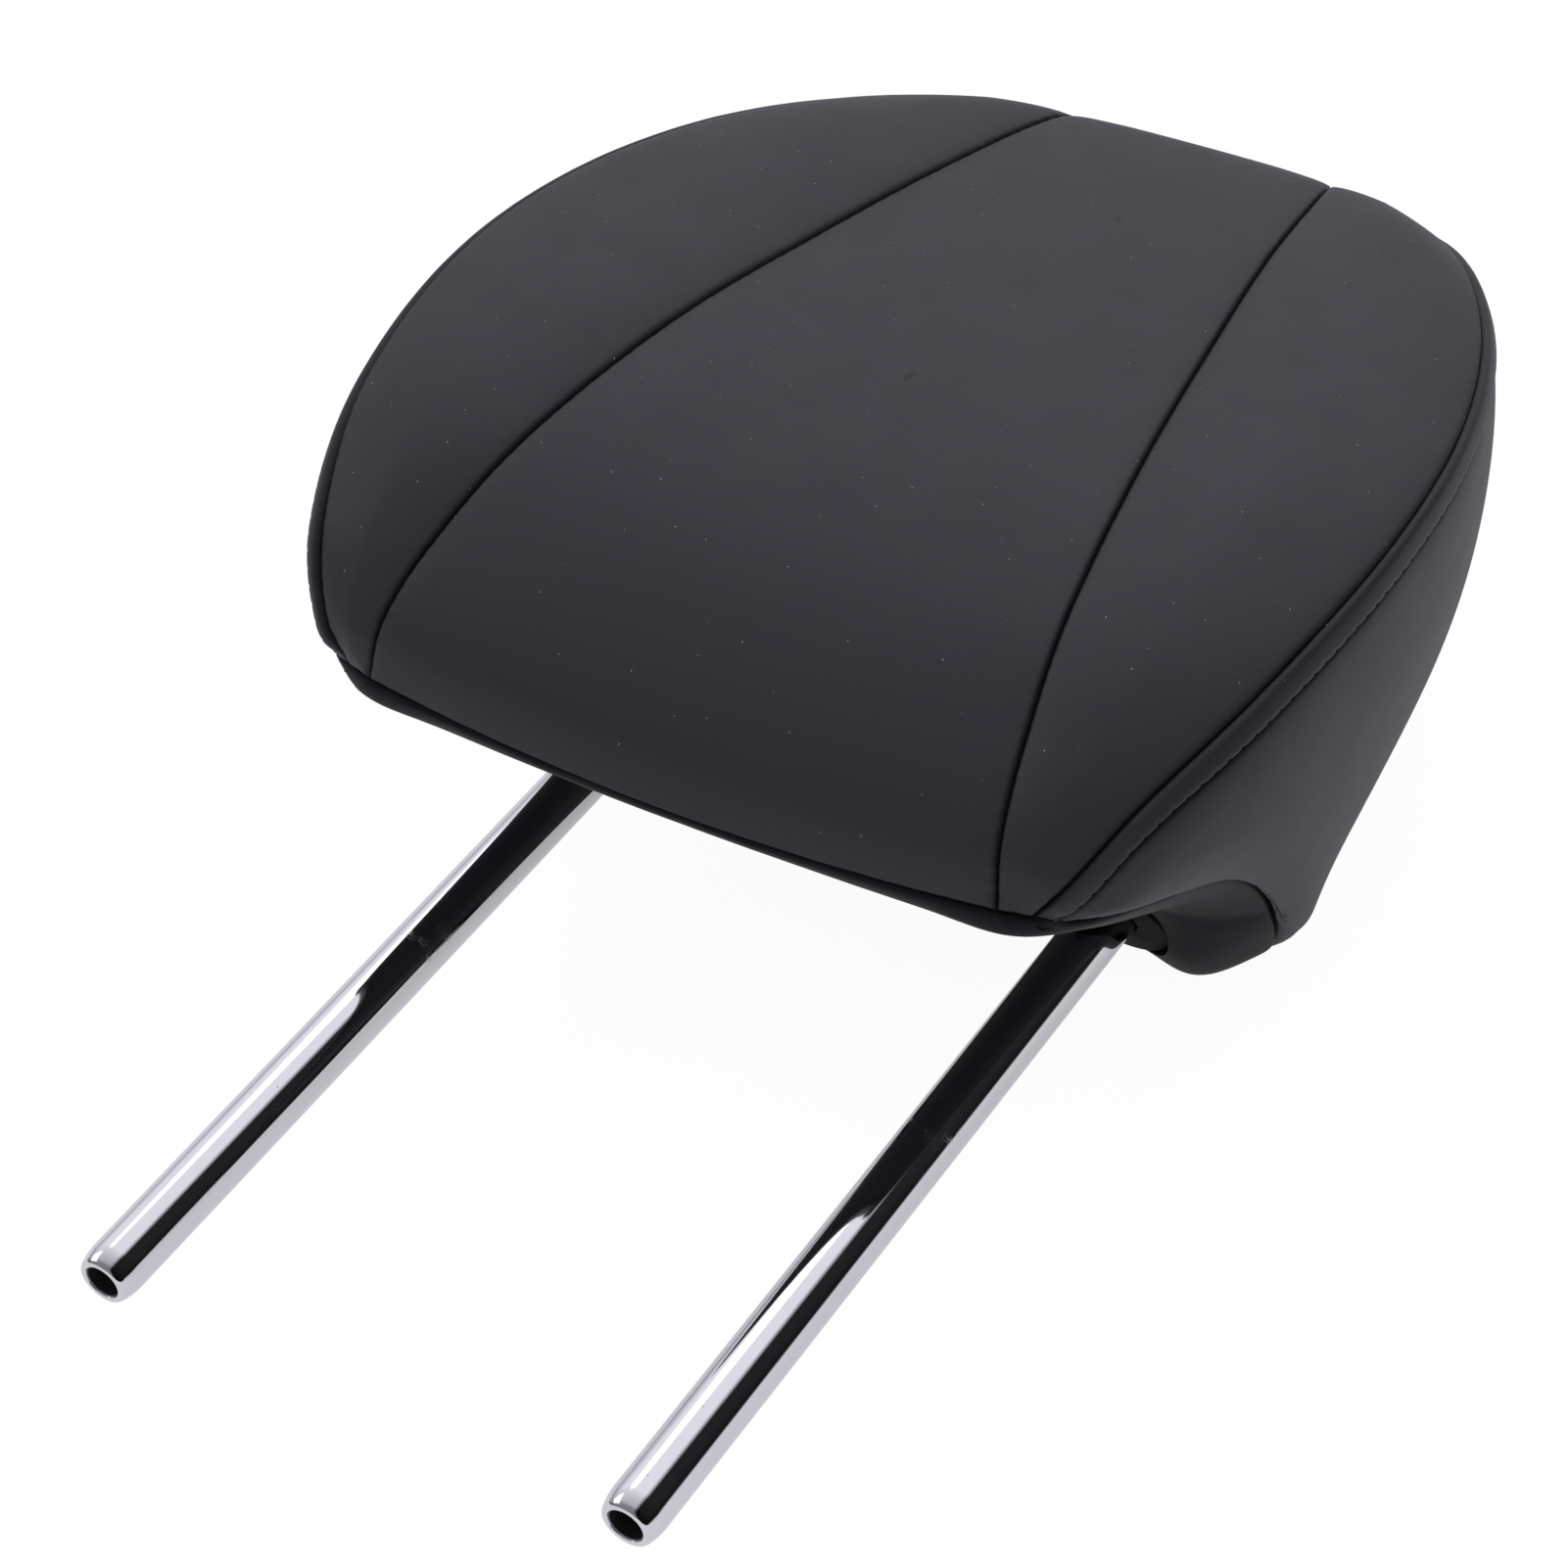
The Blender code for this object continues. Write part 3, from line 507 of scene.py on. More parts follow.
@contextmanager
def editing(made: Object) -> Iterator[None]:
    """Opens an object in edit mode, with all of it selected, and closes it again.

    Args:
        made: The object.

    Yields:
        Nothing.
    """
    select_only(made)
    bpy.ops.object.mode_set(mode='EDIT')
    bpy.ops.mesh.select_all(action='SELECT')
    yield
    bpy.ops.object.mode_set(mode='OBJECT')


def edge_distance(grid: np.ndarray) -> tuple[np.ndarray, np.ndarray]:
    """Measures how far each point of a patch lies from the patch's nearest edge.

    Args:
        grid: Rows of points.

    Returns:
        One distance for each point, and how far along that edge it lies.
    """
    down = np.linalg.norm(np.diff(grid, axis=0), axis=2)
    along = np.linalg.norm(np.diff(grid, axis=1), axis=2)
    rows = np.vstack([np.zeros((1, grid.shape[1])), np.cumsum(down, axis=0)])
    columns = np.hstack([np.zeros((grid.shape[0], 1)), np.cumsum(along, axis=1)])
    across = np.minimum(columns, columns[:, -1:] - columns)
    lengthwise = np.minimum(rows, rows[-1:] - rows)
    return np.minimum(across, lengthwise), np.where(across < lengthwise, rows, columns)


def sheet_of(name: str, points: np.ndarray) -> Object:
    """Lays a grid primitive over given points.

    Args:
        name: The name of the new object.
        points: Rows of points.

    Returns:
        The new object, at the origin.
    """
    rows, columns = points.shape[:2]
    bpy.ops.object.select_all(action='DESELECT')
    bpy.ops.mesh.primitive_grid_add(x_subdivisions=columns - 1, y_subdivisions=rows - 1, size=2.0)
    made = bpy.context.object
    made.name = made.data.name = name
    flat = np.zeros(len(made.data.vertices) * 3)
    made.data.vertices.foreach_get("co", flat)
    flat = flat.reshape(-1, 3)
    i = np.rint((flat[:, 1] + 1) / 2 * (rows - 1)).astype(int)
    j = np.rint((flat[:, 0] + 1) / 2 * (columns - 1)).astype(int)
    made.data.vertices.foreach_set("co", points[i, j].ravel())
    made["row_of"], made["column_of"] = i.tolist(), j.tolist()
    made.data.update()
    return made


def finish_shape(made: Object, smooth_angle: float = 40.0) -> Object:
    """Applies an object's place and modifiers and shades it.

    Args:
        made: The object.
        smooth_angle: Edges sharper than this many degrees stay sharp.

    Returns:
        The object.
    """
    select_only(made)
    bpy.ops.object.transform_apply(location=True, rotation=True, scale=True)
    for modifier in list(made.modifiers):
        bpy.ops.object.modifier_apply(modifier=modifier.name)
    bpy.ops.object.shade_smooth_by_angle(angle=math.radians(smooth_angle))
    return made


def dressed(made: Object, finish: Material, slot: str,
            *nodes: str) -> Object:
    """Gives a piece its material, its body and the CAD nodes that it stands for.

    Args:
        made: The piece.
        finish: Its material.
        slot: The record's material slot; not used.
        nodes: The CAD nodes that it replaces.

    Returns:
        The piece.
    """
    made.data.materials.clear()
    made.data.materials.append(finish)
    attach(made, "root")
    if nodes:
        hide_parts(*nodes)
    LOG.info("%s: %d faces", made.name, len(made.data.polygons))
    return made


@dataclass(frozen=True)
class Panel:
    """One sewn piece of the cover, with its crown and its turned edges."""

    piece: Piece
    crown: float
    crown_run: float = 0.014
    roll: float = 0.0006
    roll_run: float = 0.0016
    groove: float = 0.0010
    groove_width: float = 0.0009
    top_run: float = 0.0
    top_share: float = 0.25
    pucker: float = 0.00012
    pucker_run: float = 0.0045
    pucker_length: float = 0.0085
    pucker_finer: float = 2.3
    stitch: float = 0.0037
    pull: float = 0.00010
    pull_run: float = 0.0016
    bite: float = 0.0
    shade_run: float = 0.0007
    end_run: float = 0.0
    thickness: float = 0.0009
    lengthwise: int = 1

    def build(self, grid: np.ndarray, outward: np.ndarray, shift: np.ndarray,
              floor: float) -> Object:
        """Models the piece.

        Args:
            grid: Points of the form under the piece.
            outward: Outward directions at the points.
            shift: From the pattern's frame to the row's frame.
            floor: The height, in the pattern's frame, below which nothing reaches.

        Returns:
            The piece, with its thickness.
        """
        if self.lengthwise > 1:
            rows = (len(grid) - 1) * self.lengthwise + 1
            grid = resampled(grid, rows, grid.shape[1])
            outward = resampled(outward, rows, outward.shape[1])
        edge, along = edge_distance(grid)
        drawn = np.cos(2 * math.pi * along / self.stitch)
        outer_half = np.linspace(-1.0, 1.0, grid.shape[1])[None, :] > 0
        bitten = self.bite * outer_half * np.maximum(drawn, 0.0) ** 4
        raised = np.maximum(edge - bitten, 0.0)
        height = (self.crown * (1 - np.exp(-edge / self.crown_run))
                  + self.roll * (1 - np.exp(-raised / self.roll_run)))
        if self.end_run:
            height *= self.end_fade(grid)
        sunk = self.groove * np.clip(1 - edge / self.groove_width, 0.0, 1.0) ** 2
        if self.top_run:
            sunk *= self.top_fade(grid)
        height -= sunk
        height += self.puckers(grid, edge)
        beside = np.exp(-edge / self.pull_run) * np.minimum(1, edge / BESIDE_SEAM)
        height -= self.pull * drawn * beside
        points = grid + outward * height[:, :, None]
        points[:, :, 2] = np.maximum(points[:, :, 2], floor)
        made = sheet_of(self.piece.value + "_leather", points + shift)
        self.mark_seams(made, edge)
        self.face_outwards(made, outward)
        with editing(made):
            bpy.ops.mesh.remove_doubles(threshold=NEXT_TO)
        wall = made.modifiers.new("leather", 'SOLIDIFY')
        wall.thickness = self.thickness
        wall.offset = -1.0
        return made

    def end_fade(self, grid: np.ndarray) -> np.ndarray:
        """Finds shares that fall to zero at both ends of a long strip.

        Args:
            grid: Points of the form under the strip.

        Returns:
            One share for each row.
        """
        walked = np.linalg.norm(np.diff(grid[:, 0], axis=0), axis=1)
        place = np.concatenate([[0.0], np.cumsum(walked)])
        share = np.clip(np.minimum(place, place[-1] - place) / self.end_run, 0.0, 1.0)
        return (share ** 2 * (3 - 2 * share))[:, None]

    def top_fade(self, grid: np.ndarray) -> np.ndarray:
        """Finds shares that make the seams shallower where they reach the top.

        Args:
            grid: Points of the form under the piece, from the lip up.

        Returns:
            One share for each row.
        """
        steps = np.linalg.norm(np.diff(grid[:, grid.shape[1] // 2], axis=0), axis=1)
        left_over = np.concatenate([np.cumsum(steps[::-1])[::-1], [0.0]])
        return np.clip(left_over / self.top_run, self.top_share, 1.0)[:, None]

    def puckers(self, grid: np.ndarray, edge: np.ndarray) -> np.ndarray:
        """Finds small dents beside the seams, where the thread draws the leather in.

        Args:
            grid: Points of the form under the piece.
            edge: The distance of each point from its nearest seam.

        Returns:
            One small height for each point.
        """
        depth = np.zeros(edge.shape)
        for i, j in zip(*np.nonzero(edge < 3 * self.pucker_run)):
            place = Vector(grid[i, j]) / self.pucker_length
            depth[i, j] = noise.noise(place) + 0.5 * noise.noise(place * self.pucker_finer)
        fade = np.exp(-edge / self.pucker_run) * np.minimum(1, edge / BESIDE_SEAM)
        return self.pucker * depth * fade

    def mark_seams(self, made: Object, edge: np.ndarray) -> None:
        """Stores how near to a seam each vertex is, for the finish, which paints shadow along the
        seams with it.

        Args:
            made: The piece.
            edge: The distance of each grid point from its nearest seam.
        """
        near = np.exp(-(edge / self.shade_run) ** 2)
        rows, columns = list(made["row_of"]), list(made["column_of"])
        layer = made.data.attributes.new("seam_shadow_mask", 'FLOAT', 'POINT')
        layer.data.foreach_set("value", near[rows, columns])

    def face_outwards(self, made: Object, outward: np.ndarray) -> None:
        """Turns the faces so that they point away from the foam.

        Args:
            made: The piece.
            outward: Outward directions at the grid points.
        """
        rows, columns = list(made["row_of"]), list(made["column_of"])
        wanted = outward[rows, columns]
        del made["row_of"], made["column_of"]
        normals = np.zeros(len(made.data.vertices) * 3)
        made.data.vertices.foreach_get("normal", normals)
        if (normals.reshape(-1, 3) * wanted).sum() < 0:
            with editing(made):
                bpy.ops.mesh.flip_normals()


@dataclass(frozen=True)
class Stitching:
    """A row of thread along a seam."""

    pitch: float = 0.0037
    length: float = 0.0029
    radius: float = 0.00032
    rounding: float = 0.6
    sides: int = 6

    def build(self, name: str, paths: list[tuple[np.ndarray, np.ndarray]]) -> Object:
        """Models one stitch and copies it along the paths.

        Args:
            name: The name of the new object.
            paths: Pairs of points on the seam and outward directions there.

        Returns:
            All the stitches as one object.
        """
        bpy.ops.object.select_all(action='DESELECT')
        bpy.ops.mesh.primitive_cylinder_add(vertices=self.sides, radius=self.radius,
                                            depth=self.length, end_fill_type='NGON')
        made = bpy.context.object
        made.name = made.data.name = name
        with editing(made):
            work = bmesh.from_edit_mesh(made.data)
            for edge in work.edges:
                edge.select = all(abs(abs(v.co.z) - self.length / 2) < SAME_PLACE
                                  for v in edge.verts)
            bpy.ops.mesh.bevel(offset=self.radius * self.rounding, segments=2, affect='EDGES')
        first = np.array([v.co for v in made.data.vertices])
        faces = [list(p.vertices) for p in made.data.polygons]
        places, polygons = [], []
        for points, outward in paths:
            for middle, along, up in self.stations(points, outward):
                side = np.cross(along, up)
                base = sum(len(p) for p in places)
                places.append(middle + first @ np.array([side, up, along]))
                polygons += [[base + k for k in face] for face in faces]
        mesh = bpy.data.meshes.new(name)
        mesh.from_pydata([tuple(p) for p in np.concatenate(places)], [], polygons)
        made.data = mesh
        with editing(made):
            bpy.ops.mesh.normals_make_consistent(inside=False)
        return made

    def stations(self, points: np.ndarray, outward: np.ndarray) -> list[tuple[np.ndarray, ...]]:
        """Finds the stitches on a path.

        Args:
            points: Points on the seam.
            outward: Outward directions there.

        Returns:
            The middle, the direction and the outward direction of each stitch.
        """
        steps = np.linalg.norm(np.diff(points, axis=0), axis=1)
        walked = np.concatenate([[0.0], np.cumsum(steps)])
        found = []
        for place in np.arange(self.pitch, walked[-1] - self.pitch, self.pitch):
            middle, ahead, up = (
                np.array([np.interp(where, walked, values[:, k]) for k in range(3)])
                for where, values in ((place, points), (place + self.pitch / 3, points),
                                      (place, outward)))
            along = (ahead - middle) / np.linalg.norm(ahead - middle)
            up = up - along * np.dot(up, along)
            found.append((middle, along, up / np.linalg.norm(up)))
        return found


@dataclass
class Cover:
    """The leather cover: its pieces, their thread and the foam in them."""

    form: CushionForm = CushionForm(fineness=4)
    plain: CushionForm = CushionForm()
    shift: np.ndarray = field(default_factory=lambda: np.zeros(3))
    floor: float = -0.024
    press: Press = Press()
    stitch_depth: float = 0.0014
    leather_fill: float = 0.95
    leather_angle: float = 60.0
    foam_voxel: float = 0.004
    panels: tuple[Panel, ...] = (
        Panel(Piece.LEFT_WING, crown=0.0018, top_run=0.012, lengthwise=2),
        Panel(Piece.CENTRE, crown=0.0006, top_run=0.012, lengthwise=2),
        Panel(Piece.RIGHT_WING, crown=0.0018, top_run=0.012, lengthwise=2),
        Panel(Piece.WELT, crown=0.0, roll=0.0017, roll_run=0.0006, groove_width=0.0007,
              pucker=0.00007, pucker_run=0.002, pull=0.0, bite=0.0004, end_run=0.008,
              thickness=0.0006, lengthwise=6),
        Panel(Piece.RIGHT_GUSSET, crown=0.0016, groove_width=0.0011),
        Panel(Piece.LEFT_GUSSET, crown=0.0016, groove_width=0.0011),
        Panel(Piece.UNDERSIDE, crown=0.0, roll=0.0012, roll_run=0.0011, groove_width=0.0010),
        Panel(Piece.BACK, crown=0.0, roll=0.0))

    def build(self, leather: Material, shaded: Material,
              thread: Material, foam: Material) -> None:
        """Models and dresses every piece of the cover.

        Args:
            leather: The finish of the cover.
            shaded: The finish of its underside: the same leather painted darker, as the shade under
                the cushion.
            thread: The finish of the stitches.
            foam: The finish of the foam.
        """
        coarse = SewnForm(self.plain.grids())
        coarse.sew()
        move = coarse.breathed(self.press, {Piece.UNDERSIDE, Piece.BACK, Piece.WELT})
        grids = self.form.grids()
        for piece, grid in grids.items():
            swell = resampled(move[coarse.corners[piece]], *grid.shape[:2])
            grids[piece] = grid + swell
        fine = SewnForm(grids)
        fine.sew()
        for panel in self.panels:
            made = panel.build(grids[panel.piece], fine.outward(panel.piece), self.shift,
                               self.floor)
            finish = leather
            # The underside gets the darker copy of the leather: painted shade on its lobes and lip.
            if panel.piece is Piece.UNDERSIDE:
                Collar().cut_holes(made)
                finish = shaded
            finish_shape(made, self.leather_angle)
            dressed(made, finish, "cover_leather", panel.piece.value)
        self.sew_thread(grids, fine, thread)
        self.fill(foam)

    def sew_thread(self, grids: dict[Piece, np.ndarray], fine: SewnForm,
                   thread: Material) -> None:
        """Lays the thread in the welt's outer seam and in the two side seams.

        Args:
            grids: The patches of the form.
            fine: The same patches, sewn.
            thread: The finish of the thread.
        """
        sunk = []
        for piece, part in ((Piece.WELT, np.s_[:, -1]), (Piece.RIGHT_GUSSET, np.s_[0, :]),
                            (Piece.LEFT_GUSSET, np.s_[-1, :])):
            outward = fine.outward(piece)[part]
            sunk.append((grids[piece][part] - outward * self.stitch_depth + self.shift, outward))
        made = Stitching().build("cover_stitching", sunk)
        dressed(finish_shape(made), thread, "cover_leather")

    def fill(self, foam: Material) -> None:
        """Rounds a copy of the foam as it is moulded.

        Args:
            foam: The finish of the foam.
        """
        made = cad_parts["foam_core"].copy()
        made.data = made.data.copy()
        made.parent = None
        bpy.context.scene.collection.objects.link(made)
        made.name = made.data.name = "moulded_foam"
        made.matrix_world = Matrix.Identity(4)
        with editing(made):
            bpy.ops.mesh.remove_doubles(threshold=SAME_PLACE)
        skin = made.modifiers.new("moulded", 'REMESH')
        skin.voxel_size = self.foam_voxel
        smooth = made.modifiers.new("even", 'SMOOTH')
        smooth.iterations = 2
        finish_shape(made)
        dressed(made, foam, "cushion_foam", "foam_core")


class Side(Enum):
    """The two sides, as the nodes' names say them."""

    LEFT = "left"
    RIGHT = "right"


def cylinder(name: str, radius: float, depth: float, place: tuple[float, ...]) -> Object:
    """Adds a cylinder that lies along Y.

    Args:
        name: The name of the new object.
        radius: Its radius.
        depth: Its length.
        place: Its middle.

    Returns:
        The new object.
    """
    bpy.ops.object.select_all(action='DESELECT')
    bpy.ops.mesh.primitive_cylinder_add(vertices=ROUND_SIDES, radius=radius, depth=depth,
                                        end_fill_type='NGON', location=place, rotation=ALONG_Y)
    made = bpy.context.object
    made.name = made.data.name = name
    return made


def turned(name: str, profile: list[tuple[float, float]], x: float, z: float) -> Object:
    """Turns a tube from a circle, ring by ring, about an axis along Y.

    Args:
        name: The name of the new object.
        profile: (radius, y) of each ring; the last is joined to the first.
        x: The axis across.
        z: The height of the axis.

    Returns:
        The new object.
    """
    bpy.ops.object.select_all(action='DESELECT')
    bpy.ops.mesh.primitive_circle_add(vertices=ROUND_SIDES, radius=profile[0][0],
                                      location=(x, profile[0][1], z), rotation=ALONG_Y)
    made = bpy.context.object
    made.name = made.data.name = name
    bpy.ops.object.transform_apply(location=True, rotation=True, scale=True)
    with editing(made):
        for (radius, y), (wide, far) in zip(profile, profile[1:]):
            bpy.ops.mesh.extrude_region_move(TRANSFORM_OT_translate={"value": (0.0, far - y, 0.0)})
            bpy.ops.transform.resize(value=(wide / radius, 1.0, wide / radius),
                                     center_override=(x, far, z))
        work = bmesh.from_edit_mesh(made.data)
        for edge in work.edges:
            edge.select = edge.is_boundary
        bpy.ops.mesh.bridge_edge_loops()
        bpy.ops.mesh.select_all(action='SELECT')
        bpy.ops.mesh.normals_make_consistent(inside=False)
    return made


def subtract(made: Object, tool: Object) -> None:
    """Cuts one object with another, which is then removed.

    Args:
        made: The object to cut.
        tool: What is cut away.
    """
    cut = made.modifiers.new("cut", 'BOOLEAN')
    cut.object = tool
    cut.solver = 'EXACT'
    select_only(made)
    for modifier in list(made.modifiers):
        bpy.ops.object.modifier_apply(modifier=modifier.name)
    bpy.data.objects.remove(tool)


@dataclass(frozen=True)
class Post:
    """A chromed tube with an open, tapered end.

    The rings of its end are (outward, upward) steps from the bore and from the
    end's rim.
    """

    radius: float = 0.00635
    bore: float = 0.0038
    end_radius: float = 0.0054
    taper: float = 0.005
    taper_bend: float = 1.7
    taper_rings: int = 8
    bore_rings: tuple[tuple[float, float], ...] = ((0.0, 0.0006), (0.0003, 0.0001))
    rim_rings: tuple[tuple[float, float], ...] = ((-0.0005, 0.0), (-0.0001, 0.0002))
    unplated_wall: float = 0.0001
    sharp_angle: float = 35.0

    def build(self, side: Side, chrome: Material) -> Object:
        """Models one post in the place of its CAD node.

        Args:
            side: The side that it is on.
            chrome: Its finish.

        Returns:
            The post.
        """
        low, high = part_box(f"{side.value}_post")
        x, z, start, end = (low.x + high.x) / 2, (low.z + high.z) / 2, low.y, high.y
        taper = [(self.radius - (self.radius - self.end_radius) * share ** self.taper_bend,
                  start + self.taper * (1 - share))
                 for share in np.linspace(1.0, 0.0, self.taper_rings)]
        profile = [(self.bore, end),
                   *((self.bore + out, start + up) for out, up in self.bore_rings),
                   *((self.end_radius + out, start + up) for out, up in self.rim_rings),
                   *taper[1:], (self.radius, end)]
        made = turned(f"{side.value}_post_tube", profile, x, z)
        finish_shape(made, self.sharp_angle)
        # Marks the bore: bare steel inside the tube, which the finish also paints near-black as the
        # shade down the tube.
        reach = self.bore + self.unplated_wall
        layer = made.data.attributes.new("unplated_shaded_bore", 'FLOAT', 'POINT')
        layer.data.foreach_set("value", [float(math.hypot(v.co.x - x, v.co.z - z) < reach)
                                         for v in made.data.vertices])
        return dressed(made, chrome, "post_chrome", f"{side.value}_post")


@dataclass(frozen=True)
class Collar:
    """The trim collar round a post, with a slanting, dished face."""

    radius: float = 0.0145
    slant: float = 25.0
    rim: float = 0.0030
    dish: float = 0.0022
    clearance: float = 0.0003
    edge: float = 0.0006
    edge_angle: float = 35.0
    face: float = 0.1870
    hole_overlap: float = 0.03

    def build(self, side: Side, plastic: Material) -> Object:
        """Models one collar in the place of its CAD node.

        Args:
            side: The side that it is on.
            plastic: Its finish.

        Returns:
            The collar.
        """
        low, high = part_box(f"{side.value}_collar")
        x, z = (low.x + high.x) / 2, (low.z + high.z) / 2
        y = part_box(f"{side.value}_post")[0].y + self.face
        slope = math.radians(self.slant)
        normal = Vector((0.0, -math.cos(slope), -math.sin(slope)))
        made = cylinder(f"{side.value}_trim_collar", self.radius, 2 * (high.y - low.y),
                        (x, low.y, z))
        bpy.ops.object.transform_apply(location=True, rotation=True, scale=True)
        with editing(made):
            bpy.ops.mesh.bisect(plane_co=(x, y, z), plane_no=normal, use_fill=True,
                                clear_outer=True)
            work = bmesh.from_edit_mesh(made.data)
            work.normal_update()
            for part in work.faces:
                part.select = part.normal.dot(normal) > 0.99
            work.select_flush_mode()
            bmesh.update_edit_mesh(made.data)
            bpy.ops.mesh.inset(thickness=self.rim, depth=0.0)
            bpy.ops.transform.translate(value=normal * -self.dish)
        subtract(made, cylinder("bore", Post.radius + self.clearance, 1.0, (x, 0.0, z)))
        soft = made.modifiers.new("soft_edges", 'BEVEL')
        soft.width = self.edge
        soft.segments = 3
        soft.angle_limit = math.radians(self.edge_angle)
        finish_shape(made)
        return dressed(made, plastic, "black_plastic", f"{side.value}_collar")

    def cut_holes(self, made: Object) -> None:
        """Opens the cover for both collars.

        Args:
            made: The underside of the cover.
        """
        for side in Side:
            low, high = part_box(f"{side.value}_collar")
            middle = tuple((a + b) / 2 for a, b in zip(low, high))
            subtract(made, cylinder("hole", self.radius + self.clearance,
                                    high.y - low.y + self.hole_overlap, middle))


@dataclass(frozen=True)
class Nodes:
    """Adds nodes to a tree in few words."""

    tree: bpy.types.NodeTree

    def add(self, kind: str, settings: dict[str, object] | None = None,
            **sockets: Value | Color) -> bpy.types.Node:
        """Adds a node.

        Args:
            kind: The node's type name.
            settings: Properties of the node.
            sockets: Values or source sockets, by input name with _ for a blank, or by i and
                the input's number.

        Returns:
            The node.
        """
        node = self.tree.nodes.new(kind)
        for name, value in (settings or {}).items():
            setattr(node, name, value)
        for name, value in sockets.items():
            key = int(name[1:]) if name[1:].isdigit() else name.replace("_", " ")
            if isinstance(value, Socket):
                self.tree.links.new(value, node.inputs[key])
            else:
                node.inputs[key].default_value = value
        return node

    def math(self, operation: str, first: Value, second: Value = 0.0) -> Socket:
        """Adds a Math node.

        Args:
            operation: What it works out.
            first: Its first value.
            second: Its second value.

        Returns:
            Its result.
        """
        return self.add('ShaderNodeMath', {"operation": operation}, i0=first, i1=second).outputs[0]

    def product(self, first: Value, *others: Value) -> Value:
        """Multiplies values.

        Args:
            first: The first value.
            others: The values that it is multiplied by, in turn.

        Returns:
            The product.
        """
        for other in others:
            first = self.math('MULTIPLY', first, other)
        return first

    def ramp(self, value: Value, low: float, high: float, out_low: Value = 0.0,
             out_high: Value = 1.0) -> Socket:
        """Maps a value from one range to another and clamps it.

        Args:
            value: The value.
            low: The start of its range.
            high: The end of its range.
            out_low: What the start becomes.
            out_high: What the end becomes.

        Returns:
            The mapped value.
        """
        return self.add('ShaderNodeMapRange', None, Value=value, From_Min=low, From_Max=high,
                        To_Min=out_low, To_Max=out_high).outputs[0]

    def noise(self, place: Socket, scale: Value, detail: float = 2.0,
              distortion: float = 0.0) -> Socket:
        """Adds a Noise Texture.

        Args:
            place: Where it is read.
            scale: How fine it is.
            detail: How many finer layers it has.
            distortion: How far it is twisted.

        Returns:
            Its value.
        """
        return self.add('ShaderNodeTexNoise', None, Vector=place, Scale=scale, Detail=detail,
                        Distortion=distortion).outputs[0]

    def mix(self, share: Value, first: Socket | Color, second: Socket | Color) -> Socket:
        """Mixes two colours.

        Args:
            share: The share of the second colour.
            first: The first colour.
            second: The second colour.

        Returns:
            The mixed colour.
        """
        node = self.add('ShaderNodeMix', {"data_type": 'RGBA'}, i0=share, i6=first, i7=second)
        return node.outputs[2]

    def blend(self, share: Value, first: Value, second: Value) -> Socket:
        """Mixes two values.

        Args:
            share: The share of the second value.
            first: The first value.
            second: The second value.

        Returns:
            The mixed value.
        """
        return self.add('ShaderNodeMix', {"data_type": 'FLOAT'}, i0=share, i2=first,
                        i3=second).outputs[0]

    def parts(self, vector: Socket) -> tuple[Socket, ...]:
        """Takes a vector apart.

        Args:
            vector: The vector.

        Returns:
            Its three numbers.
        """
        return tuple(self.add('ShaderNodeSeparateXYZ', None, Vector=vector).outputs)

    def place(self, frame_name: str = "Object") -> Socket:
        """Finds where on the object a finish is seen.

        Args:
            frame_name: Which coordinates are wanted.

        Returns:
            The place.
        """
        return self.add('ShaderNodeTexCoord').outputs[frame_name]

    def stored(self, name: str) -> Socket:
        """Reads a value that was stored at the vertices.

        Args:
            name: The name of the attribute.

        Returns:
            Its value.
        """
        return self.add('ShaderNodeAttribute', {"attribute_name": name}).outputs["Fac"]

    def rays(self) -> tuple[Socket, Socket]:
        """Tells camera rays and mirrored rays from the others.

        Returns:
            1 where a ray comes from the camera, and 1 where it comes from a shiny or clear face.
        """
        ray = self.add('ShaderNodeLightPath').outputs
        return ray["Is Camera Ray"], self.math('MAXIMUM', ray["Is Glossy Ray"],
                                               ray["Is Transmission Ray"])


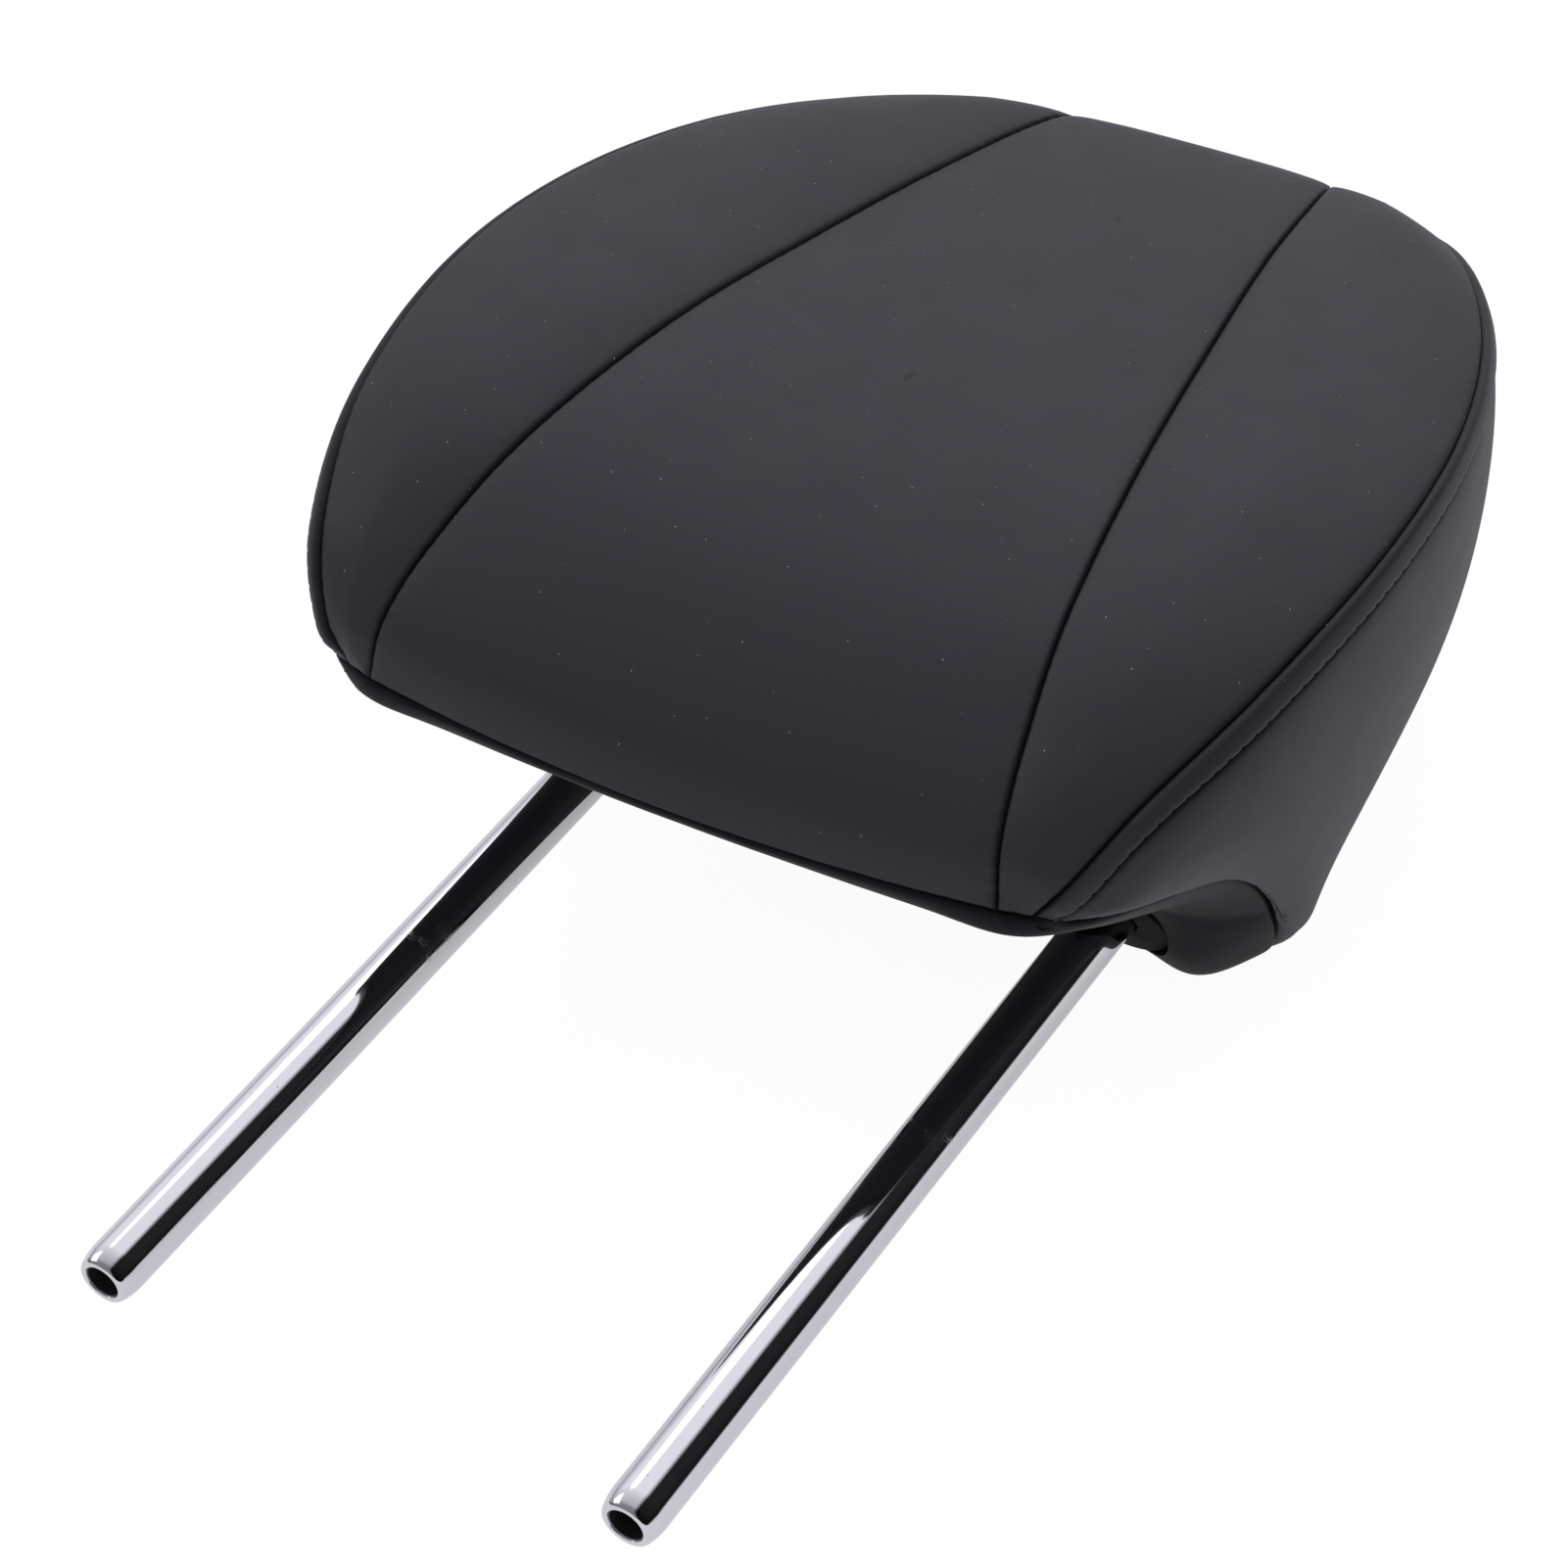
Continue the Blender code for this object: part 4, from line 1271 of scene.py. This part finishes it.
@dataclass
class Effects:
    """Node groups that several finishes share, with the numbers in them."""

    stray_scale: float = 240.0
    stray_reach: float = 0.0012
    pebble_edge: float = 0.22
    fine_scale: float = 2600.0
    fine_share: float = 0.45
    fold_scale: float = 380.0
    fold_twist: float = 1.6
    fold_share: float = 2.4
    fold_patch_scale: float = 21.0
    fold_patches: tuple[float, float] = (0.54, 0.64)
    mark_narrowness: float = 1.7
    mark_rim_scale: float = 900.0
    mark_rim: float = 0.35
    mark_fade: tuple[float, float] = (1.1, 0.3)
    dust_left_out: float = 0.55
    dust_sizes: tuple[float, float] = (0.4, 1.3)
    noise_range: tuple[float, float] = (0.3, 0.7)
    grain: bpy.types.NodeTree = field(init=False)
    dust: bpy.types.NodeTree = field(init=False)
    wear: bpy.types.NodeTree = field(init=False)
    mark: bpy.types.NodeTree = field(init=False)

    def __post_init__(self) -> None:
        """Builds the groups once."""
        self.grain = self.group("leather_grain", ("Scale",), ("Height", "Hollow"), self.draw_grain)
        self.dust = self.group("dust_specks", ("Scale", "Size"), ("Mask",), self.draw_dust)
        self.wear = self.group("uneven_wear", ("Scale", "Low", "High"), ("Value",), self.draw_wear)
        self.mark = self.group("faint_mark", ("X", "Y", "Size"), ("Mask",), self.draw_mark)

    def group(self, name: str, inputs: tuple[str, ...], outputs: tuple[str, ...],
              draw: Callable[..., tuple[Socket, ...]]) -> bpy.types.NodeTree:
        """Makes a node group.

        Args:
            name: Its name.
            inputs: Names of its number inputs.
            outputs: Names of its number outputs.
            draw: Called with the nodes, the place and the inputs; returns the outputs.

        Returns:
            The group.
        """
        tree = bpy.data.node_groups.new(name, 'ShaderNodeTree')
        tree.interface.new_socket(name="Place", in_out='INPUT', socket_type='NodeSocketVector')
        for words, way in ((inputs, 'INPUT'), (outputs, 'OUTPUT')):
            for word in words:
                tree.interface.new_socket(name=word, in_out=way, socket_type='NodeSocketFloat')
        nodes = Nodes(tree)
        entry, leave = nodes.add('NodeGroupInput'), nodes.add('NodeGroupOutput')
        made = draw(nodes, entry.outputs["Place"], *(entry.outputs[word] for word in inputs))
        for word, socket in zip(outputs, made):
            tree.links.new(socket, leave.inputs[word])
        return tree

    def draw_grain(self, nodes: Nodes, place: Socket, scale: Socket) -> tuple[Socket, ...]:
        """Draws fine pebbles parted by narrow hollows, with faint folds in places.

        Args:
            nodes: Adds the nodes.
            place: Where the grain is read.
            scale: How fine it is.

        Returns:
            Its height and its hollows.
        """
        stray = nodes.add('ShaderNodeTexNoise', None, Vector=place, Scale=self.stray_scale,
                          Detail=1.0).outputs[1]
        small = nodes.add('ShaderNodeVectorMath', {"operation": 'SCALE'}, i0=stray,
                          Scale=self.stray_reach).outputs[0]
        bent = nodes.add('ShaderNodeVectorMath', {"operation": 'ADD'}, i0=place, i1=small)
        cells = nodes.add('ShaderNodeTexVoronoi', {"feature": 'DISTANCE_TO_EDGE'},
                          Vector=bent.outputs[0], Scale=scale)
        pebble = nodes.ramp(cells.outputs[0], 0.0, self.pebble_edge)
        fine = nodes.product(nodes.noise(place, self.fine_scale, 3.0), self.fine_share)
        folds = nodes.noise(place, self.fold_scale, 3.0, self.fold_twist)
        patch = nodes.ramp(nodes.noise(place, self.fold_patch_scale), *self.fold_patches)
        height = nodes.math('ADD', nodes.math('ADD', pebble, fine),
                            nodes.product(folds, patch, self.fold_share))
        return height, nodes.math('SUBTRACT', 1.0, pebble)

    def draw_mark(self, nodes: Nodes, place: Socket, x: Socket, y: Socket,
                  size: Socket) -> tuple[Socket, ...]:
        """Draws one small smudge with an uneven rim.

        Args:
            nodes: Adds the nodes.
            place: Where the smudge is read.
            x: Its middle across.
            y: Its middle along.
            size: Its reach.

        Returns:
            1 in its middle and 0 outside it.
        """
        across, along, _ = nodes.parts(place)
        aside = nodes.product(nodes.math('SUBTRACT', across, x), self.mark_narrowness)
        ahead = nodes.math('SUBTRACT', along, y)
        far = nodes.math('SQRT', nodes.math('ADD', nodes.product(aside, aside),
                                            nodes.product(ahead, ahead)))
        uneven = nodes.ramp(nodes.noise(place, self.mark_rim_scale), *self.noise_range,
                            -self.mark_rim, self.mark_rim)
        share = nodes.math('ADD', nodes.math('DIVIDE', far, size), uneven)
        return (nodes.ramp(share, *self.mark_fade),)

    def draw_dust(self, nodes: Nodes, place: Socket, scale: Socket,
                  size: Socket) -> tuple[Socket, ...]:
        """Draws a few tiny specks at odd places.

        Args:
            nodes: Adds the nodes.
            place: Where the dust is read.
            scale: How near the specks are to each other.
            size: How large they are.

        Returns:
            1 on a speck and 0 elsewhere.
        """
        cells = nodes.add('ShaderNodeTexVoronoi', {"feature": 'F1', "voronoi_dimensions": '2D'},
                          Vector=place, Scale=scale)
        split = nodes.add('ShaderNodeSeparateColor', None, Color=cells.outputs["Color"])
        kept = nodes.math('GREATER_THAN', split.outputs[0], self.dust_left_out)
        reach = nodes.product(size, nodes.ramp(split.outputs[1], 0.0, 1.0, *self.dust_sizes))
        near = nodes.math('LESS_THAN', cells.outputs["Distance"], reach)
        return (nodes.product(near, kept),)

    def draw_wear(self, nodes: Nodes, place: Socket, scale: Socket, low: Socket,
                  high: Socket) -> tuple[Socket, ...]:
        """Draws a slow, cloudy change between two values.

        Args:
            nodes: Adds the nodes.
            place: Where the change is read.
            scale: How fine it is.
            low: The first value.
            high: The second value.

        Returns:
            The changing value.
        """
        return (nodes.ramp(nodes.noise(place, scale, 4.0), *self.noise_range, low, high),)


@dataclass(frozen=True)
class Finish:
    """What every finish has: a name, a colour, a roughness and a metal share."""

    name: str
    color: tuple[float, float, float]
    roughness: tuple[float, float]
    metallic: float = 0.0
    specular: float = 0.5
    cloud_scale: float = 14.0
    variation: float = 0.12
    # Painted shadow along the seams: how much of it, and its colour.
    seam_shadow_share: float = 0.0
    seam_shadow_color: Color = (0.003, 0.003, 0.004, 1.0)
    grain_scale: float = 0.0
    bump: float = 0.0
    bump_height: float = 0.0002
    hollow_shade: float = 0.06
    marks: tuple[tuple[float, float], ...] = ()
    mark_size: float = 0.0019
    mark_shade: float = 0.9
    mark_color: Color = (0.006, 0.006, 0.007, 1.0)
    scuffs: float = 0.0
    scuff_scale: tuple[float, float, float] = (900.0, 5200.0, 900.0)
    scuff_middle: float = 0.072
    scuff_reach: float = 0.012
    scuff_patch_scale: float = 150.0
    scuff_patches: tuple[float, float] = (0.46, 0.60)
    scuff_lines: tuple[float, float] = (0.50, 0.58)
    # Colour of the bore: painted shade, near-black.
    bore_shade_color: Color = (0.006, 0.005, 0.005, 1.0)
    bare_roughness: float = 0.8
    dust: float = 0.0
    dust_scale: float = 105.0
    dust_slopes: tuple[float, float] = (0.30, 0.50)
    dust_color: Color = (0.36, 0.36, 0.37, 1.0)

    def build(self, effects: Effects) -> Material:
        """Makes the material.

        Args:
            effects: The shared node groups.

        Returns:
            The material.
        """
        made = bpy.data.materials.new(self.name)
        made.use_nodes = True
        nodes, link = Nodes(made.node_tree), made.node_tree.links.new
        inputs = made.node_tree.nodes["Principled BSDF"].inputs
        inputs["Metallic"].default_value = self.metallic
        inputs["Specular IOR Level"].default_value = self.specular
        place = nodes.place()
        cloud = self.placed(nodes, effects.wear, place, Scale=self.cloud_scale, Low=0.0, High=1.0)
        dark, light = ((*(min(1.0, c * change) for c in self.color), 1.0)
                       for change in (1 - self.variation, 1 + self.variation))
        color = nodes.mix(cloud[0], dark, light)
        rough = self.placed(nodes, effects.wear, place, Scale=self.cloud_scale * 5,
                            Low=self.roughness[0], High=self.roughness[1])[0]
        # Painted shadow: near the seams the colour darkens to near-black, standing in for the shade
        # in the seam grooves.
        if self.seam_shadow_share:
            shade = nodes.product(nodes.stored("seam_shadow_mask"), self.seam_shadow_share)
            color = nodes.mix(shade, color, self.seam_shadow_color)
        if self.grain_scale:
            grain = self.placed(nodes, effects.grain, place, Scale=self.grain_scale)
            # Painted shade: the colour darkens a little in the grain's hollows.
            hollow = nodes.product(grain["Hollow"], self.hollow_shade)
            color = nodes.mix(hollow, color, BLACK)
            bump = nodes.add('ShaderNodeBump', None, Height=grain["Height"], Strength=self.bump,
                             Distance=self.bump_height)
            link(bump.outputs[0], inputs["Normal"])
        for x, y in self.marks:
            spot = self.placed(nodes, effects.mark, place, X=x, Y=y, Size=self.mark_size)
            color = nodes.mix(nodes.product(spot[0], self.mark_shade), color, self.mark_color)
        if self.scuffs:
            rough = self.scuffed(nodes, place, rough)
            # Inside the bore: not chrome, and painted near-black as the shade down the tube.
            shaded_bore = nodes.stored("unplated_shaded_bore")
            color = nodes.mix(shaded_bore, color, self.bore_shade_color)
            rough = nodes.math('MAXIMUM', rough, nodes.product(shaded_bore, self.bare_roughness))
            link(nodes.product(nodes.math('SUBTRACT', 1.0, shaded_bore), self.metallic),
                 inputs["Metallic"])
        if self.dust:
            color = self.dusted(nodes, effects, place, color)
        link(color, inputs["Base Color"])
        link(rough, inputs["Roughness"])
        return made

    def placed(self, nodes: Nodes, group: bpy.types.NodeTree, place: Socket,
               **values: float) -> bpy.types.NodeOutputs:
        """Puts a shared group into the material.

        Args:
            nodes: Adds the nodes.
            group: The group.
            place: Where it is read.
            values: Its numbers, by name.

        Returns:
            Its outputs.
        """
        return nodes.add('ShaderNodeGroup', {"node_tree": group}, Place=place, **values).outputs

    def scuffed(self, nodes: Nodes, place: Socket, rough: Socket) -> Socket:
        """Adds fine scratches across the posts, where they slide in their sleeves.

        Args:
            nodes: Adds the nodes.
            place: Where the finish is read.
            rough: The roughness without scratches.

        Returns:
            The roughness with them.
        """
        stretched = nodes.add('ShaderNodeMapping', None, Vector=place, Scale=self.scuff_scale)
        lines = nodes.noise(stretched.outputs[0], 1.0, 3.0)
        along = nodes.parts(place)[1]
        far = nodes.math('ABSOLUTE', nodes.math('ADD', along, self.scuff_middle))
        mask = nodes.product(nodes.ramp(far, self.scuff_reach, 0.0),
                             nodes.ramp(nodes.noise(place, self.scuff_patch_scale),
                                        *self.scuff_patches),
                             nodes.ramp(lines, *self.scuff_lines))
        return nodes.math('ADD', rough, nodes.product(mask, self.scuffs))

    def dusted(self, nodes: Nodes, effects: Effects, place: Socket, color: Socket) -> Socket:
        """Adds specks of dust where the object faces up.

        Args:
            nodes: Adds the nodes.
            effects: The shared node groups.
            place: Where the finish is read.
            color: The colour without dust.

        Returns:
            The colour with it.
        """
        mask = self.placed(nodes, effects.dust, place, Scale=self.dust_scale, Size=self.dust)
        normal = nodes.add('ShaderNodeNewGeometry').outputs["Normal"]
        upward = nodes.ramp(nodes.parts(normal)[2], *self.dust_slopes)
        return nodes.mix(nodes.product(mask[0], upward), color, self.dust_color)


class Look(Enum):
    """The finishes of the headrest."""

    LEATHER = Finish("fine_leather", (0.0285, 0.0275, 0.0350), (0.49, 0.53), specular=0.36,
                     variation=0.025, seam_shadow_share=0.85, grain_scale=1050.0, bump=0.10,
                     marks=((0.0, 0.0383), (0.0059, 0.1179)), dust=0.012)
    # The same leather painted darker: painted shade on the underside's lobes and lip, under the
    # cushion.
    PAINTED_SHADE_LEATHER = Finish("underside_leather_painted_shade", (0.0092, 0.0088, 0.0106), (0.52, 0.56),
                            specular=0.15, variation=0.03, seam_shadow_share=0.85, grain_scale=1050.0,
                            bump=0.10)
    THREAD = Finish("sewing_thread", (0.006, 0.006, 0.007), (0.5, 0.6), grain_scale=2600.0,
                    bump=0.3)
    FOAM = Finish("moulded_foam", (0.30, 0.30, 0.29), (0.85, 0.95), grain_scale=700.0, bump=0.5)
    CHROME = Finish("polished_chrome", (0.80, 0.80, 0.82), (0.03, 0.07), metallic=1.0,
                    variation=0.02, scuffs=0.45, dust=0.016)
    PLASTIC = Finish("moulded_plastic", (0.0018, 0.0014, 0.0013), (0.50, 0.60), specular=0.05,
                     grain_scale=1800.0, bump=0.15)
    STEEL = Finish("pressed_steel", (0.42, 0.42, 0.43), (0.32, 0.5), metallic=1.0, variation=0.08)
    ZINC = Finish("plated_zinc", (0.55, 0.55, 0.56), (0.28, 0.42), metallic=1.0, variation=0.08)


@dataclass(frozen=True)
class Inside:
    """The carrier with its screws and the cross plate, which keep the CAD's own shapes."""

    nodes: tuple[tuple[str, Look], ...] = (
        ("carrier_front_half", Look.PLASTIC), ("carrier_rear_half", Look.PLASTIC),
        ("cross_plate", Look.STEEL), ("carrier_screw_1", Look.ZINC),
        ("carrier_screw_2", Look.ZINC), ("carrier_screw_3", Look.ZINC),
        ("carrier_screw_4", Look.ZINC))

    def build(self, finishes: dict[Look, Material]) -> None:
        """Gives each hidden piece its finish.

        Args:
            finishes: The materials.
        """
        for name, look in self.nodes:
            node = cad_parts[name]
            node.data.materials.clear()
            node.data.materials.append(finishes[look])
            LOG.info("%s: %s", name, look.value.name)


@dataclass(frozen=True)
class Lamp:
    """A soft lamp that hangs beside the object."""

    name: str
    place: tuple[float, float, float]
    size: tuple[float, float]
    power: float
    mirrored: bool = True

    def build(self, tint: tuple[float, float, float], target: Vector) -> None:
        """Hangs the lamp.

        Args:
            tint: The colour of its light.
            target: The point that it shines at.
        """
        data = bpy.data.lights.new(self.name, 'AREA')
        data.shape, data.energy, data.color = 'RECTANGLE', self.power, tint
        data.size, data.size_y = self.size
        lamp = bpy.data.objects.new(self.name, data)
        bpy.context.scene.collection.objects.link(lamp)
        lamp.visible_glossy = self.mirrored
        lamp.location = self.place
        lamp.rotation_mode = 'QUATERNION'
        lamp.rotation_quaternion = (target - Vector(self.place)).to_track_quat('-Z', 'Y')


@dataclass(frozen=True)
class Studio:
    """The white studio: camera, floor, lamps and surroundings."""

    camera_place: tuple[float, float, float] = (0.3848, -0.5581, 0.6412)
    right: tuple[float, float, float] = (0.8457, 0.5292, -0.0695)
    up: tuple[float, float, float] = (-0.3082, 0.5905, 0.7458)
    back: tuple[float, float, float] = (0.4357, -0.6093, 0.6625)
    lens: float = 95.9
    sensor: float = 36.0
    camera_range: tuple[float, float] = (0.05, 50.0)
    tint: tuple[float, float, float] = (0.93, 0.915, 1.0)
    fill_level: float = 0.72
    floor_size: float = 14.0
    floor_drop: float = 0.0004
    floor_color: Color = (0.70, 0.685, 0.75, 1.0)
    floor_roughness: float = 0.9
    floor_glow: float = 1.09
    floor_dark_glow: float = 0.1
    white_seen: float = 0.87
    white_mirrored: tuple[float, float] = (0.38, 0.85)
    dark_side: tuple[float, float] = (0.20, 0.60)
    behind: tuple[float, float, float, float] = (-0.25, 0.40, 0.25, 0.95)
    left: tuple[float, float, float, float] = (0.26, 0.46, 1.0, 0.02)
    low: tuple[float, float, float, float] = (0.10, 0.40, 0.55, 1.0)
    target: tuple[float, float, float] = (0.0, 0.05, 0.06)
    lamps: tuple[Lamp, ...] = (
        Lamp("back_lamp", (-0.9, 1.5, 1.7), (1.8, 1.2), 4.5),
        Lamp("left_lamp", (-1.8, -0.3, 1.2), (1.2, 1.0), 3.5),
        Lamp("right_lamp", (1.6, 1.2, 0.7), (0.7, 0.9), 0.8, mirrored=False))

    def build(self) -> None:
        """Sets up the camera, the floor, the lamps and the surroundings."""
        self.add_camera()
        self.add_floor()
        for lamp in self.lamps:
            lamp.build(self.tint, Vector(self.target))
        self.surround()
        bpy.context.scene.view_settings.view_transform = 'Standard'

    def add_camera(self) -> None:
        """Places the camera as the photograph was taken."""
        data = bpy.data.cameras.new("camera")
        data.sensor_width, data.lens = self.sensor, self.lens
        data.clip_start, data.clip_end = self.camera_range
        camera = bpy.data.objects.new("camera", data)
        bpy.context.scene.collection.objects.link(camera)
        turn = Matrix((self.right, self.up, self.back)).transposed()
        camera.matrix_world = Matrix.Translation(self.camera_place) @ turn.to_4x4()
        bpy.context.scene.camera = camera

    def add_floor(self) -> None:
        """Lays a pale floor that keeps the shadow and is white elsewhere."""
        bpy.ops.object.select_all(action='DESELECT')
        bpy.ops.mesh.primitive_plane_add(size=self.floor_size,
                                         location=(0.0, 0.0, -self.floor_drop))
        floor = bpy.context.object
        floor.name = "studio_floor"
        finish = bpy.data.materials.new("studio_white")
        finish.use_nodes = True
        tree = finish.node_tree
        nodes = Nodes(tree)
        shader = tree.nodes["Principled BSDF"]
        shader.inputs["Base Color"].default_value = self.floor_color
        shader.inputs["Roughness"].default_value = self.floor_roughness
        seen, mirrored_ray = nodes.rays()
        across = nodes.parts(nodes.place())[0]
        mirrored_share = nodes.ramp(across, *self.dark_side, *self.white_mirrored)
        share = nodes.math('MAXIMUM', nodes.product(seen, self.white_seen),
                           nodes.product(mirrored_ray, mirrored_share))
        level = nodes.math('MAXIMUM', seen,
                           nodes.ramp(across, *self.dark_side, 1.0, self.floor_dark_glow))
        glow = nodes.add('ShaderNodeEmission', None, Color=WHITE,
                         Strength=nodes.product(level, self.floor_glow))
        both = nodes.add('ShaderNodeMixShader', None, i0=share, i1=shader.outputs[0],
                         i2=glow.outputs[0])
        tree.links.new(both.outputs[0], tree.nodes["Material Output"].inputs["Surface"])
        floor.data.materials.append(finish)

    def surround(self) -> None:
        """Makes the surroundings white to the camera, and in reflections white behind only."""
        world = bpy.data.worlds.new("studio")
        bpy.context.scene.world = world
        world.use_nodes = True
        nodes, link = Nodes(world.node_tree), world.node_tree.links.new
        across, along, height = nodes.parts(nodes.place("Generated"))
        screen = nodes.product(nodes.ramp(along, *self.behind), nodes.ramp(across, *self.left),
                               nodes.ramp(height, *self.low))
        seen, mirrored_ray = nodes.rays()
        level = nodes.blend(seen, nodes.blend(mirrored_ray, self.fill_level, screen), 1.0)
        inputs = world.node_tree.nodes["Background"].inputs
        link(nodes.mix(seen, (*self.tint, 1.0), WHITE), inputs["Color"])
        link(level, inputs["Strength"])


def main() -> None:
    """Builds the headrest and its studio."""
    logging.basicConfig(level=logging.INFO, format="%(message)s")
    effects = Effects()
    finishes = {look: look.value.build(effects) for look in Look}
    low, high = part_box("right_post")
    for side in Side:
        Post().build(side, finishes[Look.CHROME])
        Collar().build(side, finishes[Look.PLASTIC])
    Cover(shift=np.array((0.0, low.y, (low.z + high.z) / 2))).build(
        finishes[Look.LEATHER], finishes[Look.PAINTED_SHADE_LEATHER], finishes[Look.THREAD],
        finishes[Look.FOAM])
    Inside().build(finishes)
    Studio().build()


if __name__ == "__main__":
    main()
